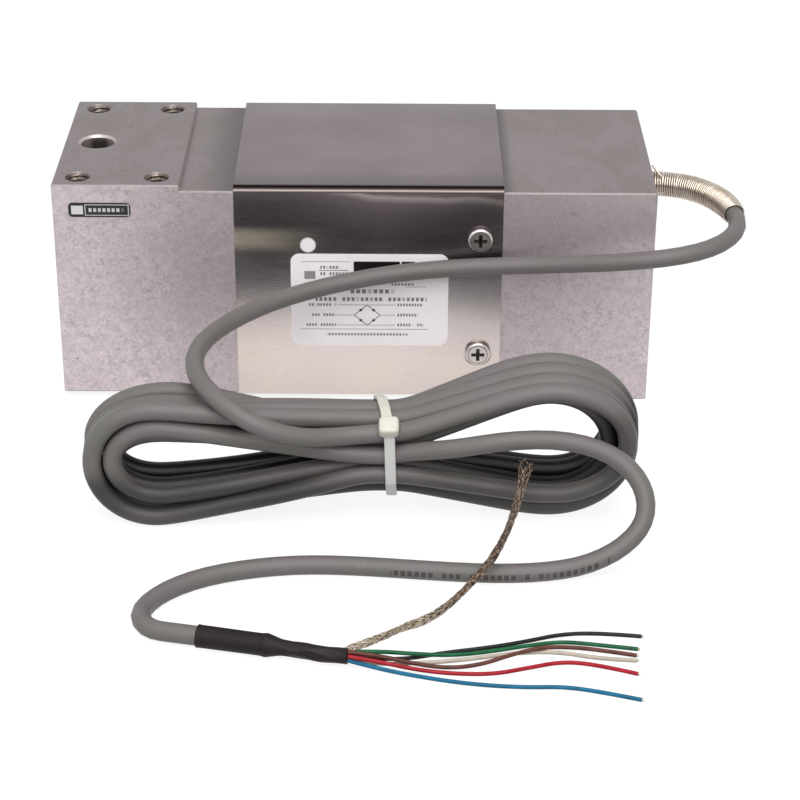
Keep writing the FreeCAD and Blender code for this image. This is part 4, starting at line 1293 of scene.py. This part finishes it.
    def screen(self, material: bpy.types.Material) -> Tuple[bpy.types.Object, np.ndarray]:
        """Makes the screen: strands wound both ways round one line, which fray at the far end.

        Each strand is centre + r (cos a side + sin a rise); half turn one way and half the other, r
        swells and shrinks with the crossings, and over the last part it opens like a brush.

        Args:
            material: the strands' finish.

        Returns:
            The mesh object and the line that it follows.
        """
        guide = spline_of("screen_line", np.array(self.braid_route), self.braid_diameter, 2, 12)
        line = even_line(line_of(guide), 0.55)
        bpy.data.objects.remove(guide)
        way = np.linspace(0, 1, len(line))[:, None]
        _, side, rise = frames_along(line)
        fray = np.clip((way - 0.90) / 0.10, 0, 1) ** 1.5
        swell = 1.0 + 0.28 * np.exp(-((way - 0.27) / 0.05) ** 2) + 0.12 * np.sin(23 * way) - 0.15 * (way < 0.03)
        grids = []
        for index in range(self.strands):
            hand = 1 if index % 2 else -1
            phase = 2 * np.pi * index / self.strands
            twist = 2 * np.pi * 6.5 * way + 0.35 * np.sin(31 * way + index)
            a = phase + hand * twist * (1 - 0.15 * fray)
            weave = 0.07 * np.cos(4 * a + index)
            opened = 1 + (1.2 + 0.2 * (index % 5)) * fray
            reach = (self.braid_diameter / 2 - self.strand / 2 + weave) * swell * opened
            centre = line + reach * (np.cos(a) * side + 0.8 * np.sin(a) * rise)
            keep = len(line) - (index * 3) % 4
            taper = np.full(keep, self.strand / 2)
            grids.append(tube_grid(centre[:keep], taper, 6))
        grids.append(tube_grid(line[:-6], np.full(len(line) - 6, 0.5), 10))
        braid = dressed(mesh_of("screen_braid", grids), material)
        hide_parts("shield_braid")
        return braid, line


# The beam and its cover.


@dataclass
class TappedHoles:
    """Threads inside the eight bolt holes."""

    radius: float = 2.97
    pitch: float = 1.0
    depth: float = 9.0
    height: float = 0.52
    clear: float = 0.35
    first_x: float = 69.0
    pitch_x: float = 19.65
    pitch_y: float = 47.33

    def sleeve(self, x: float, y: float, mouth: float, down: int) -> np.ndarray:
        """One threaded lining: round inside, its radius drops by a ridge that climbs with the angle.

        The ridge is height times 1 - |2 s - 1| sharpened, with s the part of a turn left after
        depth / pitch + angle / one turn.

        Args:
            x: the hole's middle.
            y: the hole's middle.
            mouth: the height of the face that the hole starts in.
            down: minus one for a hole that goes down, one for up.

        Returns:
            A closed grid, [round the section, around the hole].
        """
        way = np.linspace(self.clear, self.depth, 91)[:, None]
        angle = np.linspace(0, 2 * np.pi, 40, endpoint=False)[None, :]
        part = np.mod(way / self.pitch + down * angle / (2 * np.pi), 1.0)
        ridge = np.clip(1.35 * (1 - np.abs(2 * part - 1)) - 0.1, 0, 1)
        lead_in = np.clip(way - self.clear, 0, 1)
        inside = self.radius - 0.06 - self.height * ridge * lead_in
        outside = np.full((2, angle.shape[1]), self.radius)
        radius = np.vstack([inside, outside])
        levels = np.vstack([way, [[self.depth], [self.clear]]])
        z = np.broadcast_to(mouth + down * levels, radius.shape)
        grid = np.stack([x + radius * np.cos(angle), y + radius * np.sin(angle), z], axis=-1)
        return grid if down < 0 else grid[:, ::-1]

    def build(self, top: float, material: bpy.types.Material) -> bpy.types.Object:
        """Makes all eight linings as one piece.

        Args:
            top: the height of the loaded pad.
            material: the bare metal's finish.

        Returns:
            The mesh object.
        """
        grids = []
        for end, mouth, down in ((-1, top, -1), (1, 0.0, 1)):
            for step in (0, 1):
                x = end * (self.first_x - step * self.pitch_x)
                grids += [self.sleeve(x, side * self.pitch_y / 2, mouth, down) for side in (-1, 1)]
        threads = mesh_of("bolt_threads", grids, ring=True)
        dressed(threads, material)
        LOG.info("bolt_threads: %d holes", len(grids))
        return threads


@dataclass
class BeamBlock:
    """The machined beam with its tag."""

    bore_x: float = -66.7
    bore_radius: float = 4.25

    def build(self) -> None:
        """Dresses the beam, its threads and its tag."""
        top = box_of("beam")[1][2]
        low, high, _ = box_of("cover")
        metal = MilledAluminium(low[0], high[0], self.bore_x, self.bore_radius, top)
        carried("beam", metal.material())
        thread = PlainMetal("thread_metal", shade(128, 118, 110), shade(82, 74, 68)).material()
        TappedHoles().build(top, thread)
        low, high, middle = box_of("beam_tag")
        half = (high - low) / 2
        carried("beam_tag", TagFilm(middle[0], middle[2], half_x=half[0], half_z=half[2]).material())


@dataclass(frozen=True)
class PlainMetal:
    """Bare machined metal in a hollow."""

    name: str
    base: Colour
    second: Colour

    def material(self) -> bpy.types.Material:
        """Builds the finish."""
        net = Net(self.name)
        tone = net.noise(1.2, 3.0)
        base = net.mix(tone.rise(0.35, 0.65), self.base, self.second)
        return net.surface(Base_Color=base, Metallic=0.9, Roughness=0.28 + tone * 0.15)


@dataclass
class CoverSet:
    """The folded cover, its screws and its labels."""

    bend: float = 1.6

    def build(self) -> None:
        """Dresses the cover, screws, rating label and sticker."""
        low, high, _ = box_of("cover")
        sheet = FoldedSheet(high[1] - self.bend, high[2] - self.bend, low[2], high[2])
        carried("cover", sheet.material())
        upper, lower = (box_of("cover_screw_front_" + name)[2] for name in ("upper", "lower"))
        steel = BrightSteel(upper[0], (upper[2] + lower[2]) / 2, (upper[2] - lower[2]) / 2).material()
        for side in ("front", "back"):
            for level in ("upper", "lower"):
                carried("cover_screw_%s_%s" % (side, level), steel)
        middle = box_of("rating_label")[2]
        carried("rating_label", RatingFilm(middle[0], middle[2]).material())
        low, high, middle = box_of("round_sticker")
        carried("round_sticker", StickerFilm(middle[0], middle[2], (high[0] - low[0]) / 2).material())
        LOG.info("cover set dressed")


@dataclass
class Gauging:
    """What the cover hides: gauges, fill, trim board, seal and cores."""

    def build(self) -> None:
        """Dresses the pieces inside."""
        steel = PlainMetal("board_screw_steel", shade(178, 172, 166), shade(140, 134, 130)).material()
        foil = PlainBody("gauge_film", shade(196, 142, 60), shade(164, 108, 40), 0.35, 3.0).material()
        fill = PlainBody("silicone_fill", shade(188, 186, 182), shade(170, 168, 166), 0.45, 0.25).material()
        cores = PlainBody("core_bundle", shade(178, 170, 158), shade(120, 60, 52), 0.4, 0.6).material()
        board = PlainBody("board_laminate", shade(30, 96, 58), shade(24, 78, 48), 0.35, 1.5).material()
        body = PlainBody("resistor_lacquer", shade(150, 174, 190), shade(120, 150, 172), 0.25, 0.8).material()
        rubber = PlainBody("bush_rubber", shade(40, 38, 38), shade(52, 50, 50), 0.6, 1.2).material()
        for level in ("top", "bottom"):
            carried("gauge_%s_loaded" % level, foil)
            carried("gauge_%s_fixed" % level, foil)
            carried("potting_" + level, fill)
            carried("lead_bundle_" + level, cores)
        for name in ("near", "far"):
            carried("board_screw_" + name, steel)
        for name in ("zero", "span", "input"):
            carried("resistor_" + name, body)
        carried("terminal_board", board)
        carried("cable_cores", cores)
        carried("cable_bush", rubber)
        LOG.info("gauging dressed")


# The studio.


def aimed(right: np.ndarray, up: np.ndarray, ahead: np.ndarray, place: Sequence[float]) -> Matrix:
    """A camera's or lamp's matrix, at a place in metres: X to its right, Y up, minus Z ahead."""
    turn = np.eye(4)
    turn[:3] = np.column_stack([right, up, -ahead, place])
    return Matrix(turn.tolist())


@dataclass
class Studio:
    """Camera, pale floor, and soft light."""

    place: Point = (9.51, -558.88, 280.18)
    down: float = 27.916
    aside: float = -0.220
    roll: float = 0.3905
    lens: float = 104.317
    floor_size: float = 4.0
    # Strength of the floor's own white, its greys for light and for shadow, and the sky's strength on it.
    glow: float = 0.86
    paper: float = 0.45
    shadow: float = 0.22
    sky: float = 0.33
    # Name, place in metres, size and power of each lamp.
    lamps = (("lamp_high", (0.1, -0.35, 1.1), 0.8, 6.0), ("lamp_front", (0.05, -0.95, 0.8), 0.9, 9.0),
             ("lamp_left", (-0.9, -0.5, 0.7), 0.7, 2.0))

    def camera(self) -> bpy.types.Object:
        """Sets the camera: forward, right and up from three angles, then turned by the roll."""
        down, aside, roll = (math.radians(v) for v in (self.down, self.aside, self.roll))
        level = math.cos(down)
        ahead = np.array([-math.sin(aside) * level, math.cos(aside) * level, -math.sin(down)])
        right = np.array([math.cos(aside), math.sin(aside), 0.0])
        up = np.cross(right, ahead)
        c, s = math.cos(roll), math.sin(roll)
        right, up = c * right + s * up, c * up - s * right
        data = bpy.data.cameras.new("camera")
        data.lens, data.sensor_width, data.clip_start = self.lens, 36.0, 0.01
        camera = linked("camera", data)
        camera.matrix_world = aimed(right, up, ahead, np.array(self.place) * MM)
        bpy.context.scene.camera = camera
        return camera

    def _seen(self, net: Net) -> Field:
        """One for rays that see the floor or sky, straight or in metal or glass."""
        rays = net.node("ShaderNodeLightPath", {}, {})
        straight = Field(net, rays.outputs["Is Camera Ray"])
        return straight.most(Field(net, rays.outputs["Is Glossy Ray"])).most(
            Field(net, rays.outputs["Is Transmission Ray"]))

    def floor(self) -> bpy.types.Object:
        """Makes the floor, whose own white keeps a faint shadow."""
        half = self.floor_size / 2 / MM
        corners = np.array([[-half, -half, 0.0], [half, -half, 0.0], [half, half, 0.0], [-half, half, 0.0]])
        mesh = bpy.data.meshes.new("floor")
        mesh.from_pydata((corners * MM).tolist(), [], [[0, 1, 2, 3]])
        floor = linked("floor", mesh)
        net = Net("floor_paper")
        glow = net.node("ShaderNodeEmission", {}, {"Color": (1.0, 1.0, 1.0), "Strength": self.glow})
        paper = net.node("ShaderNodeBsdfDiffuse", {}, {"Color": (self.paper,) * 3})
        faint = net.node("ShaderNodeBsdfDiffuse", {}, {"Color": (self.shadow,) * 3})
        both = net.node("ShaderNodeAddShader", {}, {0: glow.outputs[0], 1: faint.outputs[0]})
        mixed = net.node("ShaderNodeMixShader", {},
                         {0: self._seen(net), 1: paper.outputs[0], 2: both.outputs[0]})
        net.node("ShaderNodeOutputMaterial", {}, {"Surface": mixed.outputs[0]})
        mesh.materials.append(net.material)
        return floor

    def light(self) -> None:
        """Sets the sky and three soft lamps: high over the part, in front of it, and from the left."""
        net = Net("sky", "worlds")
        bpy.context.scene.world = net.material
        rays = net.node("ShaderNodeLightPath", {}, {})
        seen = Field(net, rays.outputs["Is Camera Ray"]).most(Field(net, rays.outputs["Is Glossy Ray"]))
        level = net.node("ShaderNodeMapRange", {}, {0: seen, 3: self.sky, 4: 1.0})
        sky = net.node("ShaderNodeBackground", {}, {0: (1.0, 1.0, 1.0), 1: level.outputs[0]})
        net.node("ShaderNodeOutputWorld", {}, {0: sky.outputs[0]})
        for name, spot, size, power in self.lamps:
            data = bpy.data.lights.new(name, "AREA")
            data.shape, data.size, data.energy = "SQUARE", size, power
            lamp = linked(name, data)
            ahead = unit(-np.array(spot)[None])[0]
            right = unit(np.cross(ahead, np.array([0.0, 0.0, 1.0]))[None])[0]
            lamp.matrix_world = aimed(right, np.cross(right, ahead), ahead, spot)
        bpy.context.scene.view_settings.view_transform = "Standard"


def declare_cords(cable: bpy.types.Object,
                  wires: Sequence[bpy.types.Object],
                  braid_line: np.ndarray) -> None:
    """Args:
        cable: the signal cable.
        wires: the six cores.
        braid_line: the screen's own line.
    """
    line = line_of(cable)
    for wire in wires:
        route = line_of(wire)
    braid_line[0] * MM
    (braid_line * MM).tolist()


def main() -> None:
    """Builds the studio, the cords, then the beam and its cover."""
    logging.basicConfig(level=logging.INFO, format="%(message)s")
    studio = Studio()
    studio.camera()
    jacket = CableJacket().material()
    hank = Hank()
    cable = SignalCable(hank).build(jacket)
    strap = CableTie(hank).build(NaturalNylon().material())
    spring = BendSpring().build(line_of(cable), SpringWire().material())
    end = CableEnd()
    copper = TinnedCopper().material()
    sleeve = end.sleeve(ShrunkSleeve().material())
    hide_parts("end_sleeve")
    wires = end.wires()
    end.tips(wires, copper)
    braid, braid_line = end.screen(copper)
    declare_cords(cable, wires, braid_line)
    carried("cable_inner", jacket)
    BeamBlock().build()
    CoverSet().build()
    Gauging().build()
    studio.floor()
    studio.light()


if __name__ == "__main__":
    main()
